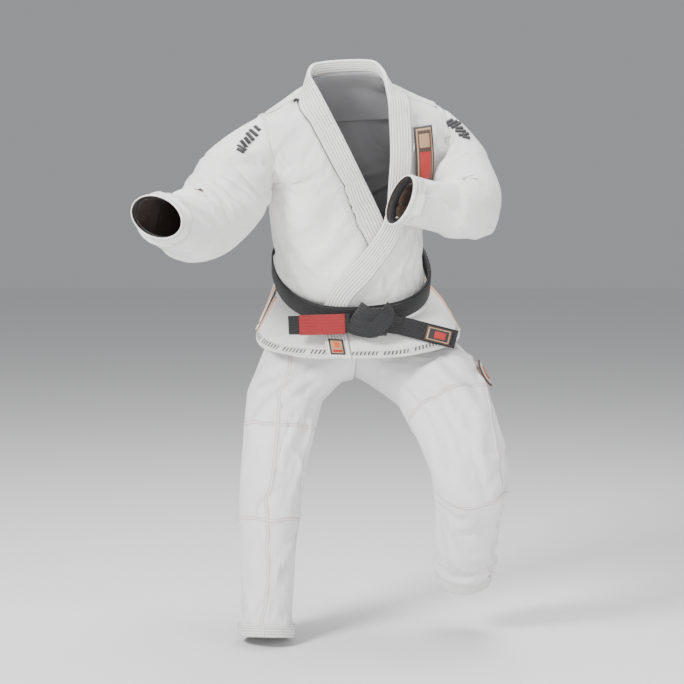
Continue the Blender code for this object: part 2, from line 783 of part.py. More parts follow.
def skirt_panels(pivots):
    """The three skirts. Each keeps its shape in the middle and crumples at its sides."""
    gap = SEAM_GAP
    under, over, back = pivots["right_skirt"], pivots["left_skirt"], pivots["back_skirt"]
    under_sewn = sewn_edge(lapel_end_frames(UNDER, UNDER_LAPEL_EDGE, UNDER_FLAP_DROP))
    over_sewn = sewn_edge(lapel_end_frames(OVER, OVER_LAPEL_EDGE, 0.0))

    def right_front(height):
        return rigid_angle(UNDER, height, -1, True), edge_angle(UNDER, height, under_sewn)

    def right_side(height):
        return vent_angle(UNDER, height, -1, True), rigid_angle(UNDER, height, -1, True, gap)

    def left_front(height):
        return edge_angle(OVER, height, over_sewn), rigid_angle(OVER, height, 1, True)

    def left_side(height):
        return rigid_angle(OVER, height, 1, True, gap), vent_angle(OVER, height, 1, True)

    def back_middle(height):
        return rigid_angle(UNDER, height, 1, False), rigid_angle(UNDER, height, -1, False)

    def back_right(height):
        return rigid_angle(UNDER, height, -1, False, gap), vent_angle(UNDER, height, -1, False)

    def back_left(height):
        return vent_angle(UNDER, height, 1, False), rigid_angle(UNDER, height, 1, False, gap)

    drop = UNDER_FLAP_DROP
    parts = (
        ("right_skirt", UNDER, right_front, drop, 8, under),
        ("right_skirt_side", UNDER, right_side, 0.0, 4, under),
        ("left_skirt", OVER, left_front, 0.0, 9, over),
        ("left_skirt_side", OVER, left_side, 0.0, 4, over),
        ("back_skirt", UNDER, back_middle, 0.0, 8, back),
        ("back_skirt_right_side", UNDER, back_right, 0.0, 4, back),
        ("back_skirt_left_side", UNDER, back_left, 0.0, 4, back),
    )
    for name, sections, from_to, low, columns, parent in parts:
        piece(skirt_part(name, sections, from_to, low, columns=columns), WHITE_COTTON, parent)

    lift = SEWN_ON_GAP + TAPE_THICKNESS
    for name, sections, from_to, low, parent in (
        ("right_hem_tape", UNDER, right_front, drop, under),
        ("left_hem_tape", OVER, left_front, 0.0, over),
        ("back_hem_tape", UNDER, back_middle, 0.0, back),
    ):
        bottom = -SKIRT_DROP - low + 0.002
        heights = panel_heights(bottom, bottom + HEM_TAPE_WIDTH, 2)
        tape = skirt_part(name, sections, from_to, low, TAPE_THICKNESS, lift, heights, 8)
        piece(tape, PRINTED_TAPE, parent)

    for name, sections, side, front, parent in (
        ("right_front_vent_tape", UNDER, -1, True, under),
        ("left_front_vent_tape", OVER, 1, True, over),
        ("right_back_vent_tape", UNDER, -1, False, back),
        ("left_back_vent_tape", UNDER, 1, False, back),
    ):
        def tape_span(height):
            edge = vent_angle(sections, height, side, front)
            width = VENT_TAPE_WIDTH / section_at(sections, height).half_width
            inner = edge + (width if (side < 0) == front else -width)
            return min(edge, inner), max(edge, inner)

        tape = skirt_part(name, sections, tape_span, 0.0, TAPE_THICKNESS, lift, columns=3)
        piece(tape, PEACH_TAPE, parent)


def lapel_end_frames(sections, edge, drop):
    """The marks across the lapel's stretch on the skirt, from the hem up."""
    path = [edge_place(sections, height, edge) for height in skirt_heights(drop)]
    if edge is OVER_LAPEL_EDGE:
        path.reverse()
        return lapel_frames(path, None)[::-1]
    return lapel_frames(path, None)


def lapel_end(name, frames, parent, sink=0.0):
    """The lapel's stretch below the belt, on the skirt's front edge."""
    low = -JACKET_CLOTH - sink
    high = low + LAPEL_END_THICKNESS
    half = LAPEL_WIDTH / 2
    outline = ((0, low), (half, low), (LAPEL_WIDTH, low), (LAPEL_WIDTH, high), (half, high), (0, high))
    return piece(loft(name, strip_sections(frames, outline)), WHITE_COTTON, parent)


def lapel_label(frames, parent):
    """The woven label on the over lapel's end."""
    low = LAPEL_END_THICKNESS - JACKET_CLOTH + SEWN_ON_GAP
    high = low + PATCH_THICKNESS
    margin = 0.009
    half = LAPEL_WIDTH / 2
    wide = LAPEL_WIDTH - margin
    outline = ((margin, low), (half, low), (wide, low), (wide, high), (half, high), (margin, high))
    first = [
        (mix(a[0], b[0], 0.4), mix(a[1], b[1], 0.4)) for a, b in zip(frames[0], frames[1])
    ]
    marks = [first, *frames[1:-1]]
    return piece(loft("lapel_label", strip_sections(marks, outline)), LABEL_TAN, parent)


# ---------------------------------------------------------------- belt


BELT_FRAME = TORSO @ Matrix.Rotation(BELT_DROP, 4, "X")


def belt_out(layer):
    """How far outside the cloth at the sides of the waist this turn's outer face lies."""
    return BELT_CLEAR + layer * (BELT_THICKNESS + WRAP_GAP) + BELT_THICKNESS


def belt_front(layer):
    """How far in front of the belt's middle the outside of this turn lies."""
    return WAIST_FRONT + OVERLAP + LAPEL_THICKNESS - JACKET_CLOTH + BELT_FRONT_CLEAR + belt_out(layer)


def belt_ring(layer, rise):
    """A ring of the belt in world space. layer is the turn, counted outwards from 0."""
    out = belt_out(layer)
    section = Section(0, 0, 0, 0, WAIST_WIDTH / 2 + out, belt_front(layer), WAIST_BACK + out)
    turns = [2 * math.pi * i / BODY_SIDES for i in range(BODY_SIDES)]
    return [BELT_FRAME @ (body_point(section, t) + Vector((0, 0, rise))) for t in turns]


def knot_frame():
    """The knot's middle, upright, facing where the chest faces."""
    ahead = -belt_front(1) - KNOT_AHEAD - KNOT_SIZE.y / 2
    middle = BELT_FRAME @ Vector((KNOT_ASIDE, ahead, 0))
    turn = Matrix.Rotation(TURN, 4, "Z") @ Matrix.Rotation(KNOT_TILT, 4, "X")
    return Matrix.Translation(middle) @ turn


def knot():
    """The belt's knot, as one rounded block: a cage with Subdivision."""
    bm = bmesh.new()
    bmesh.ops.create_cube(bm, size=1.0)
    bmesh.ops.scale(bm, verts=bm.verts, vec=KNOT_SIZE * KNOT_CAGE)
    bmesh.ops.subdivide_edges(bm, edges=bm.edges, cuts=1, use_grid_fill=True)
    mesh = bpy.data.meshes.new("belt_knot")
    bm.to_mesh(mesh)
    bm.free()
    mesh.transform(knot_frame())
    obj = new_object("belt_knot", mesh)
    rounding = obj.modifiers.new("Rounded", "SUBSURF")
    rounding.levels = 2
    rounding.render_levels = 2
    return obj


def tail_frames(side, steps=6):
    """(middle, across, outward) along a tail, which lies back towards the body as it leaves the knot."""
    droop = RED_TAIL_DROOP if side < 0 else LABEL_TAIL_DROOP
    sag = RED_TAIL_SAG if side < 0 else LABEL_TAIL_SAG
    turn = Matrix.Rotation(TURN, 3, "Z")
    way = turn @ Vector((side * math.cos(droop), 0, -math.sin(droop)))
    back = turn @ Vector((0, 1, 0))
    root = tail_root(side)
    frames = []
    for i in range(steps + 1):
        t = i / steps
        middle = root + way * TAIL_LENGTH * t + back * sag * t * t
        along = (way * TAIL_LENGTH + back * 2 * sag * t).normalized()
        out = (-back + along * along.dot(back)).normalized()
        frames.append((middle, out.cross(along), out))
    return frames


def strip(name, frames, width, thickness, lift=0.0):
    half = width / 2
    low = lift - thickness / 2
    outline = ((-half, low), (half, low), (half, low + thickness), (-half, low + thickness))
    sections = [
        [point + over * a + out * b for a, b in outline] for point, over, out in frames
    ]
    return loft(name, sections)


def part_of(frames, start, end, length):
    """The frames between two distances along a strip, with new ones at both ends."""
    count = len(frames) - 1

    def at(distance):
        place = distance / length * count
        i = min(int(place), count - 1)
        t = place - i
        return tuple(mix(a, b, t) for a, b in zip(frames[i], frames[i + 1]))

    inner = [frames[i] for i in range(count + 1) if start < i * length / count < end]
    return [at(start), *inner, at(end)]


def bar_section(frames, width, thickness, wall):
    """Outlines of a sleeve sewn round a strip, open along its back edge."""
    gap = WRAP_GAP
    w = width / 2 + gap
    t = thickness / 2 + gap
    slit = 0.002
    outline = (
        (slit, -t), (w, -t), (w, t), (-w, t), (-w, -t), (-slit, -t),
        (-slit, -t - wall), (-w - wall, -t - wall), (-w - wall, t + wall),
        (w + wall, t + wall), (w + wall, -t - wall), (slit, -t - wall),
    )
    return [[point + over * a + out * b for a, b in outline] for point, over, out in frames]


def belt(pivots, root):
    for layer, name in enumerate(("belt_inner_wrap", "belt_outer_wrap")):
        rings = [belt_ring(layer, rise) for rise in (-BELT_WIDTH / 2, BELT_WIDTH / 2)]
        piece(tube(name, rings, BELT_THICKNESS), BLACK_COTTON, root)
    piece(knot(), BLACK_COTTON, root)

    for name, side in (("red_bar_tail", -1), ("label_tail", 1)):
        parent = pivots[name]
        frames = tail_frames(side)
        tail = strip(name, frames, BELT_WIDTH, BELT_THICKNESS * 2)
        piece(tail, BLACK_COTTON, parent)
        if side < 0:
            bar = part_of(frames, BAR_START, BAR_START + BAR_LENGTH, TAIL_LENGTH)
            sleeve = loft("rank_bar", bar_section(bar, BELT_WIDTH, BELT_THICKNESS * 2, 0.0012))
            piece(sleeve, RED_COTTON, parent)
        else:
            label = part_of(frames, LABEL_START, LABEL_START + LABEL_LENGTH, TAIL_LENGTH)
            lift = BELT_THICKNESS + SEWN_ON_GAP + PATCH_THICKNESS / 2
            patch = strip("belt_label", label, BELT_WIDTH * 0.76, PATCH_THICKNESS, lift)
            piece(patch, LABEL_BLACK, parent)


def tail_root(side):
    """Where a tail leaves the knot: just past the knot's side."""
    drop = RED_TAIL_DROP if side < 0 else LABEL_TAIL_DROP
    return knot_frame() @ Vector((side * (KNOT_SIZE.x / 2 + TAIL_GAP), 0, -drop))


# ---------------------------------------------------------------- sleeves


def armhole_ring(side):
    """The sleeve's first ring, in the plane of the armhole seam."""
    heights = panel_heights(ARMHOLE_BOTTOM * 1.03, ARMHOLE_TOP * 0.985, 8)
    seam = side * (SHOULDER_WIDTH / 2 + 2.8 * SEAM_GAP)
    front, back = [], []
    for height in heights:
        for found, is_front in ((front, True), (back, False)):
            section = section_at(OVER if side > 0 and is_front else UNDER, height)
            reach = SHOULDER_SHIFT + side * SHOULDER_WIDTH / 2
            angle = angle_of(section, reach, is_front)
            point = body_point(section, angle)
            found.append(Vector((SHOULDER_SHIFT + seam, point.y, point.z)))
    return [TORSO @ point for point in front + back[::-1]]


def matched(ring, target):
    """The ring's points started and turned so that they pair with the target's points."""
    count = len(ring)
    middle_a = sum(ring, Vector()) / count
    middle_b = sum(target, Vector()) / count
    best = None
    for order in (ring, ring[::-1]):
        for start in range(count):
            turned = order[start:] + order[:start]
            cost = sum(
                ((a - middle_a) - (b - middle_b)).length_squared for a, b in zip(turned, target)
            )
            if best is None or cost < best[0]:
                best = (cost, turned)
    return best[1]


def sleeve(side, shoulder, arm_way, forearm_way, pivots):
    word = "right" if side < 0 else "left"
    elbow = shoulder + arm_way * UPPER_SLEEVE
    cuff = elbow + forearm_way * FOREARM_SLEEVE
    hinge = arm_way.cross(forearm_way).normalized()
    upper, lower = pivots[word + "_upper_sleeve"], pivots[word + "_forearm_sleeve"]

    def arm_ring(distance):
        share = distance / UPPER_SLEEVE
        radius = mix(SLEEVE_TOP_RADIUS, SLEEVE_ELBOW_RADIUS, share)
        return limb_ring(shoulder + arm_way * distance, arm_way, radius, radius * 0.95, hinge)

    def forearm_ring(distance):
        share = distance / FOREARM_SLEEVE
        long = mix(SLEEVE_ELBOW_RADIUS, CUFF_RADIUS, share)
        short = mix(SLEEVE_ELBOW_RADIUS * 0.95, CUFF_RADIUS * CUFF_FLATNESS, share)
        return limb_ring(elbow + forearm_way * distance, forearm_way, long, short, hinge)

    gap = SEAM_GAP
    top = arm_ring(HEAD_LENGTH)
    hole = matched(armhole_ring(side), top)
    head_steps = 4
    head = [
        [mix(a, b, i / head_steps) for a, b in zip(hole, top)]
        for i in range(head_steps + 1)
    ]
    elbow_start = UPPER_SLEEVE - ELBOW_REACH
    parts = (
        (word + "_sleeve_head", head, upper),
        (word + "_upper_sleeve",
         [arm_ring(mix(HEAD_LENGTH + gap, elbow_start, i / 2)) for i in range(3)], upper),
        (word + "_elbow",
         bend_rings(elbow, arm_way, forearm_way, ELBOW_REACH - gap,
                    (SLEEVE_ELBOW_RADIUS, SLEEVE_ELBOW_RADIUS * 0.96),
                    (SLEEVE_ELBOW_RADIUS * 0.95, SLEEVE_ELBOW_RADIUS * 0.90), hinge, 6), lower),
        (word + "_forearm_sleeve",
         [forearm_ring(mix(ELBOW_REACH, FOREARM_SLEEVE - CUFF_BAND - gap, i / 2))
          for i in range(3)], lower),
        (word + "_cuff_band",
         [forearm_ring(FOREARM_SLEEVE - CUFF_BAND), forearm_ring(FOREARM_SLEEVE)], lower),
    )
    for name, rings, parent in parts:
        piece(tube(name, rings, JACKET_CLOTH), WHITE_COTTON, parent)
    inner = JACKET_CLOTH + SEWN_ON_GAP
    tape = [
        inward(forearm_ring(FOREARM_SLEEVE - distance), inner) for distance in (CUFF_TAPE, 0.001)
    ]
    piece(tube(word + "_cuff_tape", tape, TAPE_THICKNESS), LABEL_BROWN, lower)
    return cuff


# ---------------------------------------------------------------- trousers


def seat_section(height):
    """The seat's cross-section in world space, from the waistband's lower edge to the seat's lower edge."""
    belt = BELT_CENTRE
    hips = (RIGHT_HIP + LEFT_HIP) / 2
    top = Vector((belt.x, belt.y, belt.z)) + waist_normal() * (-WAISTBAND_WIDTH * 0.62)
    middle = Vector((hips.x + 0.006, hips.y - 0.003, SEAT_HEIGHT))
    waist = WAIST_WIDTH / 2 - JACKET_CLOTH - WORN_GAP
    shares = (
        (0.0, SEAT_WIDTH / 2), (0.30, mix(waist, SEAT_WIDTH / 2, 0.58)),
        (0.65, mix(waist, SEAT_WIDTH / 2, 0.20)), (1.0, waist),
    )
    width = through(shares, height)
    front = mix(SEAT_FRONT, WAIST_FRONT - JACKET_CLOTH - WORN_GAP, height)
    back = mix(SEAT_BACK, WAIST_BACK - JACKET_CLOTH - WORN_GAP, height**1.5)
    tilt = mix(SEAT_TILT, LEAN + BELT_DROP, height)
    return mix(middle, top, height), tilt, width, front, back


def waist_normal():
    return (BELT_FRAME.to_3x3() @ Vector((0, 0, 1))).normalized()


def seat_ring(height, inset=0.0):
    middle, tilt, width, front, back = seat_section(height)
    turn = Matrix.Rotation(TURN * height, 3, "Z")
    section = Section(0, 0, 0, 0, width - inset, front - inset, back - inset)
    lean = Matrix.Rotation(tilt, 3, "X")
    return [
        middle + turn @ (lean @ body_point(section, 2 * math.pi * i / BODY_SIDES))
        for i in range(BODY_SIDES)
    ]


def waistband_ring(rise):
    width = WAIST_WIDTH / 2 - JACKET_CLOTH - WORN_GAP
    section = Section(rise, 0, 0, 0, width, WAIST_FRONT - JACKET_CLOTH - WORN_GAP,
                      WAIST_BACK - JACKET_CLOTH - WORN_GAP)
    return [
        BELT_FRAME @ body_point(section, 2 * math.pi * i / BODY_SIDES) for i in range(BODY_SIDES)
    ]


def gusset_edge(side):
    """The gusset's edge from front to back under the crotch, in world space."""
    middle, _, _, front, back = seat_section(0.0)
    steps = 6
    points = []
    for i in range(steps + 1):
        t = i / steps
        y = middle.y + mix(-front, back, t)
        fall = math.sin(math.pi * t) ** 0.7
        width = GUSSET_WIDTH / 2 * (0.35 + 0.65 * fall)
        start = SEAT_HEIGHT + (y - middle.y) * math.tan(SEAT_TILT) - 4 * SEAM_GAP
        z = mix(start, CROTCH_HEIGHT, fall)
        points.append(Vector((middle.x + side * width, y * 0.96 + middle.y * 0.04, z)))
    return points


def gusset():
    left, right = gusset_edge(1), gusset_edge(-1)
    grid = [[a, (a + b) / 2, b] for a, b in zip(left, right)]
    return sheet("crotch_gusset", grid, TROUSER_CLOTH, Vector((0, 0, -1)))


def leg_top_ring(side):
    """Half of the seat's lower edge, closed along the gusset."""
    ring = seat_ring(0.0)
    quarter = BODY_SIDES // 4
    drop = Vector((0, 0, -3.6 * SEAM_GAP))
    if side > 0:
        outer = [ring[i % BODY_SIDES] for i in range(-quarter + 1, quarter)]
    else:
        outer = [ring[i] for i in range(quarter + 1, 3 * quarter)]
    if side < 0:
        outer = outer[::-1]
    inner = [point + Vector((side * SEAM_GAP, 0, 0)) for point in gusset_edge(side)]
    loop = [point + drop for point in outer] + inner[::-1]
    return even(loop, LIMB_SIDES)


def even(loop, count):
    """A closed loop's outline as this many points, evenly apart."""
    lengths = [(loop[(i + 1) % len(loop)] - point).length for i, point in enumerate(loop)]
    total = sum(lengths)
    found = []
    for k in range(count):
        target = total * k / count
        i = 0
        while target > lengths[i]:
            target -= lengths[i]
            i += 1
        found.append(mix(loop[i], loop[(i + 1) % len(loop)], target / lengths[i]))
    return found


def leg(side, hip, thigh_way, shin_way, pivots):
    word = "right" if side < 0 else "left"
    knee = hip + thigh_way * THIGH
    hint = Vector((1, 0, 0))
    thigh, shin = pivots[word + "_thigh"], pivots[word + "_shin"]
    gap = SEAM_GAP

    def thigh_ring(distance):
        share = (distance - HIP_REACH) / (THIGH - HIP_REACH)
        radius = mix(THIGH_RADIUS, KNEE_RADIUS, share)
        return limb_ring(hip + thigh_way * distance, thigh_way, radius, radius * 1.06, hint)

    def shin_ring(distance):
        radius = mix(KNEE_RADIUS, HEM_RADIUS, (distance / SHIN) ** 0.8)
        return limb_ring(knee + shin_way * distance, shin_way, radius, radius * 1.04, hint)

    top = thigh_ring(HIP_REACH)
    waist = matched(leg_top_ring(side), top)
    steps = 4
    hip_rings = [
        [mix(a, b, i / steps) for a, b in zip(waist, top)] for i in range(steps + 1)
    ]
    parts = (
        (word + "_hip", hip_rings, thigh),
        (word + "_thigh",
         [thigh_ring(mix(HIP_REACH + gap, THIGH - KNEE_REACH, i / 2)) for i in range(3)], thigh),
        (word + "_knee",
         bend_rings(knee, thigh_way, shin_way, KNEE_REACH - gap,
                    (mix(THIGH_RADIUS, KNEE_RADIUS, 0.6), KNEE_RADIUS * 0.95),
                    (mix(THIGH_RADIUS, KNEE_RADIUS, 0.6) * 1.06, KNEE_RADIUS * 0.99),
                    hint, 5), shin),
        (word + "_shin",
         [shin_ring(mix(KNEE_REACH, SHIN - TROUSER_HEM - gap, i / 3)) for i in range(4)], shin),
        (word + "_hem", [shin_ring(SHIN - TROUSER_HEM), shin_ring(SHIN)], shin),
    )
    for name, rings, parent in parts:
        piece(tube(name, rings, TROUSER_CLOTH), WHITE_COTTON, parent)
    patch_rings = [
        limb_arc(hip + thigh_way * distance, thigh_way, hint,
                 mix(THIGH_RADIUS, KNEE_RADIUS, (distance - HIP_REACH) / (THIGH - HIP_REACH)))
        for distance in (HIP_REACH + 0.035, HIP_REACH + 0.08, THIGH - KNEE_REACH - 0.004)
    ]
    patch = sheet(word + "_knee_patch", patch_rings, TROUSER_CLOTH, Vector((0, -1, 0)))
    piece(patch, WHITE_COTTON, thigh)


def limb_arc(centre, way, hint, radius):
    """The front of a limb's ring, outside its cloth."""
    first, second = across(way, hint)
    front = -1 if second.y > 0 else 1
    out = radius + SEWN_ON_GAP + TROUSER_CLOTH + 0.002
    turns = [math.radians(20 + 14 * i) for i in range(11)]
    return [
        centre + first * out * math.cos(t) + second * (out * 1.06 * front) * math.sin(t)
        for t in turns
    ]


def hip_patch(parent):
    """The round woven patch on the left hip."""
    way = LEFT_THIGH_WAY
    centre = LEFT_HIP + way * (HIP_REACH + 0.030)
    first, second = across(way, Vector((1, -0.6, 0)))
    out = THIGH_RADIUS * 1.06 + SEWN_ON_GAP + 0.002
    mesh = bpy.data.meshes.new("hip_patch")
    bm = bmesh.new()
    bmesh.ops.create_cone(bm, cap_ends=True, segments=24, radius1=HIP_PATCH_RADIUS,
                          radius2=HIP_PATCH_RADIUS, depth=PATCH_THICKNESS)
    turn = Matrix((second, way, first)).transposed().to_4x4()
    bm.to_mesh(mesh)
    bm.free()
    place = centre + first * (out + PATCH_THICKNESS / 2)
    mesh.transform(Matrix.Translation(place) @ turn)
    face_out(mesh)
    return piece(new_object("hip_patch", mesh), LABEL_BROWN, parent)


# ---------------------------------------------------------------- assembly


clear_scene()
UNIFORM = collection_named("martial_arts_uniform")
WORLD_PLACES = {}


def build_pivots():
    root = pivot("uniform", Vector(), None)
    shoulder_height = mix(ARMHOLE_BOTTOM, ARMHOLE_TOP, 0.5)
    places = {}
    pivots = {}
    for side, word, arm_way, hip, thigh_way in (
        (-1, "right", RIGHT_ARM_WAY, RIGHT_HIP, RIGHT_THIGH_WAY),
        (1, "left", LEFT_ARM_WAY, LEFT_HIP, LEFT_THIGH_WAY),
    ):
        aside = SHOULDER_SHIFT + side * SHOULDER_WIDTH / 2
        shoulder = TORSO @ Vector((aside, 0, shoulder_height))
        places[word + "_shoulder"] = shoulder
        upper = pivot(word + "_upper_sleeve_pivot", shoulder, root)
        elbow = shoulder + arm_way * UPPER_SLEEVE
        pivots[word + "_upper_sleeve"] = upper
        pivots[word + "_forearm_sleeve"] = pivot(word + "_forearm_sleeve_pivot", elbow, upper)
        thigh = pivot(word + "_thigh_pivot", hip, root)
        pivots[word + "_thigh"] = thigh
        knee = hip + thigh_way * THIGH
        pivots[word + "_shin"] = pivot(word + "_shin_pivot", knee, thigh)
    front = on_body(OVER, -FOLD_DROP, 1.5 * math.pi, -FOLD_INSET)
    back = on_body(UNDER, SKIRT_TOP, 0.5 * math.pi, JACKET_CLOTH)
    under = pivot("right_skirt_pivot", front, root)
    over = pivot("left_skirt_pivot", front, under)
    pivots["right_skirt"], pivots["left_skirt"] = under, over
    pivots["back_skirt"] = pivot("back_skirt_pivot", back, root)
    pivots["red_bar_tail"] = pivot("red_bar_tail_pivot", tail_root(-1), over)
    pivots["label_tail"] = pivot("label_tail_pivot", tail_root(1), over)
    return root, places, pivots


def build():
    root, places, pivots = build_pivots()
    frames = lapel_frames(lapel_path())
    under_sewn = sewn_edge(frames[:LAPEL_STEPS])
    over_sewn = sewn_edge(frames[:-LAPEL_STEPS - 1:-1])
    right = front_panel("jacket_right_front", UNDER, -1, under_sewn)
    left = front_panel("jacket_left_front", OVER, 1, over_sewn)
    piece(right, WHITE_COTTON, root)
    piece(left, WHITE_COTTON, root)
    piece(back_panel(panel_top(UNDER, -1, under_sewn)), WHITE_COTTON, root)
    piece(yoke_lining(), LINING_GREY, root)
    cover, core = lapel_outlines()
    piece(loft("lapel", strip_sections(frames, cover)), WHITE_COTTON, root)
    piece(loft("lapel_core", strip_sections(frames, core)), RUBBER_CORE, root)
    piece(chest_patch(), LABEL_BLACK, root)

    skirt_panels(pivots)
    under_end = lapel_end_frames(UNDER, UNDER_LAPEL_EDGE, UNDER_FLAP_DROP)
    over_end = lapel_end_frames(OVER, OVER_LAPEL_EDGE, 0.0)
    lapel_end("under_lapel_end", under_end, pivots["right_skirt"], UNDER_END_SINK)
    lapel_end("over_lapel_end", over_end, pivots["left_skirt"])
    lapel_label(over_end, pivots["left_skirt"])
    belt(pivots, root)

    sleeve(-1, places["right_shoulder"], RIGHT_ARM_WAY, RIGHT_FOREARM_WAY, pivots)
    sleeve(1, places["left_shoulder"], LEFT_ARM_WAY, LEFT_FOREARM_WAY, pivots)

    band = [waistband_ring(-WAISTBAND_WIDTH * 0.6), waistband_ring(WAISTBAND_WIDTH * 0.4)]
    piece(tube("waistband", band, TROUSER_CLOTH * 1.6), WHITE_COTTON, root)
    seat = [seat_ring(share) for share in (0.0, 0.25, 0.5, 0.72, 0.93)]
    piece(tube("trouser_seat", seat, TROUSER_CLOTH), WHITE_COTTON, root)
    piece(gusset(), WHITE_COTTON, root)
    leg(-1, RIGHT_HIP, RIGHT_THIGH_WAY, RIGHT_SHIN_WAY, pivots)
    leg(1, LEFT_HIP, LEFT_THIGH_WAY, LEFT_SHIN_WAY, pivots)
    hip_patch(pivots["left_thigh"])
    return root


def set_down(root):
    """Moves everything so that the lowest hem is at Z = 0 and the box is centred in X and Y."""
    bpy.context.view_layer.update()
    graph = bpy.context.evaluated_depsgraph_get()
    low = Vector((math.inf,) * 3)
    high = -low
    for obj in UNIFORM.objects:
        if obj.type != "MESH":
            continue
        shape = obj.evaluated_get(graph)
        for vertex in shape.data.vertices:
            place = shape.matrix_world @ vertex.co
            low = Vector(map(min, low, place))
            high = Vector(map(max, high, place))
    middle = (low + high) / 2
    root.location -= Vector((middle.x, middle.y, low.z))


set_down(build())
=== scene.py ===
"""A wrap-front jacket, loose trousers and a knotted belt, worn by nobody in a guard stance."""
import math
from collections import namedtuple

import bmesh
import bpy
import numpy as np
from mathutils import Matrix, Vector
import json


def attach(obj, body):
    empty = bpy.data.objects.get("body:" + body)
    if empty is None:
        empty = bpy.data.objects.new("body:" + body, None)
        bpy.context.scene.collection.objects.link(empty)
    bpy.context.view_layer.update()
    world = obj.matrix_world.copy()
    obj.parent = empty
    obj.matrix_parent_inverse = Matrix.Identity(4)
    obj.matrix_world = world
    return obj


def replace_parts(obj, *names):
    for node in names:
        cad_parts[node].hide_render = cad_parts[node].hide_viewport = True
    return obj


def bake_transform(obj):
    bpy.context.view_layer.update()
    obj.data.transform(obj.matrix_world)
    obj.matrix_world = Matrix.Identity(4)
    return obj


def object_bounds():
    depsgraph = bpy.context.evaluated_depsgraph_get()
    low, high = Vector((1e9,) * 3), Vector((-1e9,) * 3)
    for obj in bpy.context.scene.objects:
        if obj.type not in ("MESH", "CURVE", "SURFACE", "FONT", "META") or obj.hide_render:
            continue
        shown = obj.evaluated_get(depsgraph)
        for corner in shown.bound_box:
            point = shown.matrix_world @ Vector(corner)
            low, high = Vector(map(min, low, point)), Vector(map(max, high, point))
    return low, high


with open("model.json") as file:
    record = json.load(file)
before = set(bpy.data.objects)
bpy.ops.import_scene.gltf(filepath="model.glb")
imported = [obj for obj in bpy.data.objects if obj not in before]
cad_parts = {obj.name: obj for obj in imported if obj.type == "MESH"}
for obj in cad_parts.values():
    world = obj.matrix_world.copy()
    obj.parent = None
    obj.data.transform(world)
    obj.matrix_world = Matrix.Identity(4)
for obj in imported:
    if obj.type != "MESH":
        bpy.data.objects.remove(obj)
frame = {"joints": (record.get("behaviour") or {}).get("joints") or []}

CAD_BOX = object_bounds()
bpy.ops.object.select_all(action="DESELECT")

JOINTS = {joint["name"]: joint for joint in frame["joints"]}


def joint_place(name):
    return Vector(JOINTS[name]["pos_m"])


# ---------------------------------------------------------------- sizes, in metres

# Cloth
JACKET_CLOTH = 0.0035
TROUSER_CLOTH = 0.0025
JACKET_WALL = JACKET_CLOTH * 0.6
TROUSER_WALL = TROUSER_CLOTH * 0.7
SEAM_GAP = 0.0012
WRAP_GAP = 0.0004
WORN_GAP = 0.0060
BELT_CLEAR = 0.0055
BELT_FRONT_CLEAR = 0.0055

# The stance, from the frame's joints
RIGHT_HIP = joint_place("right_hip")
LEFT_HIP = joint_place("left_hip")
BELT_CENTRE = RIGHT_HIP + Vector((0.121, -0.020, 0.123))
RIGHT_SHOULDER = joint_place("right_shoulder")
LEFT_SHOULDER = joint_place("left_shoulder")
RIGHT_ARM_WAY = (joint_place("right_elbow") - RIGHT_SHOULDER).normalized()
LEFT_ARM_WAY = (joint_place("left_elbow") - LEFT_SHOULDER).normalized()
RIGHT_THIGH_WAY = (joint_place("right_knee") - RIGHT_HIP).normalized()
LEFT_THIGH_WAY = (joint_place("left_knee") - LEFT_HIP).normalized()
RIGHT_FOREARM_WAY = Vector((-0.083, -0.184, 0.033)).normalized()
LEFT_FOREARM_WAY = Vector((-0.180, -0.089, 0.035)).normalized()
RIGHT_SHIN_WAY = Vector((-0.008, -0.071, -0.315)).normalized()
LEFT_SHIN_WAY = Vector((-0.010, 0.142, -0.290)).normalized()
LEAN = math.radians(15.5)
SIDE_LEAN = math.radians(1.0)
TURN = math.radians(10.0)
BELT_DROP = math.radians(14.5)
HEM_RISE = math.radians(3.5)
HEM_TURN = math.radians(9.0)

# Jacket
JACKET_RISE = 0.432
WAIST_WIDTH = 0.320
WAIST_FRONT = 0.148
WAIST_BACK = 0.125
CHEST_WIDTH = 0.354
CHEST_FRONT = 0.120
CHEST_BACK = 0.122
SHOULDER_WIDTH = 0.384
SHOULDER_SHIFT = 0.012
SHOULDER_ROOM = 0.030
NECK_WIDTH = 0.160
NECK_FRONT = 0.052
NECK_BACK = 0.068
OVERLAP = 0.018
BODY_SQUARENESS = 2.5

# Skirt
SKIRT_DROP = 0.130
SKIRT_AHEAD = 0.048
HEM_WIDTH = 0.434
HEM_FRONT = 0.168
HEM_BACK = 0.180
HEM_TAPE_WIDTH = 0.016
VENT_TAPE_WIDTH = 0.014
VENT_GAP = 0.012
UNDER_FLAP_DROP = 0.012
FOLD_DROP = 0.068

# Lapel
LAPEL_WIDTH = 0.048
LAPEL_THICKNESS = 0.0075
LAPEL_END_THICKNESS = 0.0060
COLLAR_STAND = 0.016

# Sleeves
UPPER_SLEEVE = 0.235
FOREARM_SLEEVE = 0.205
SLEEVE_LENGTH = UPPER_SLEEVE + FOREARM_SLEEVE
SLEEVE_TOP_RADIUS = 0.073
SLEEVE_ELBOW_RADIUS = 0.073
CUFF_RADIUS = 0.062
CUFF_FLATNESS = 0.66
CUFF_BAND = 0.026
HEAD_LENGTH = 0.098
ELBOW_REACH = 0.088

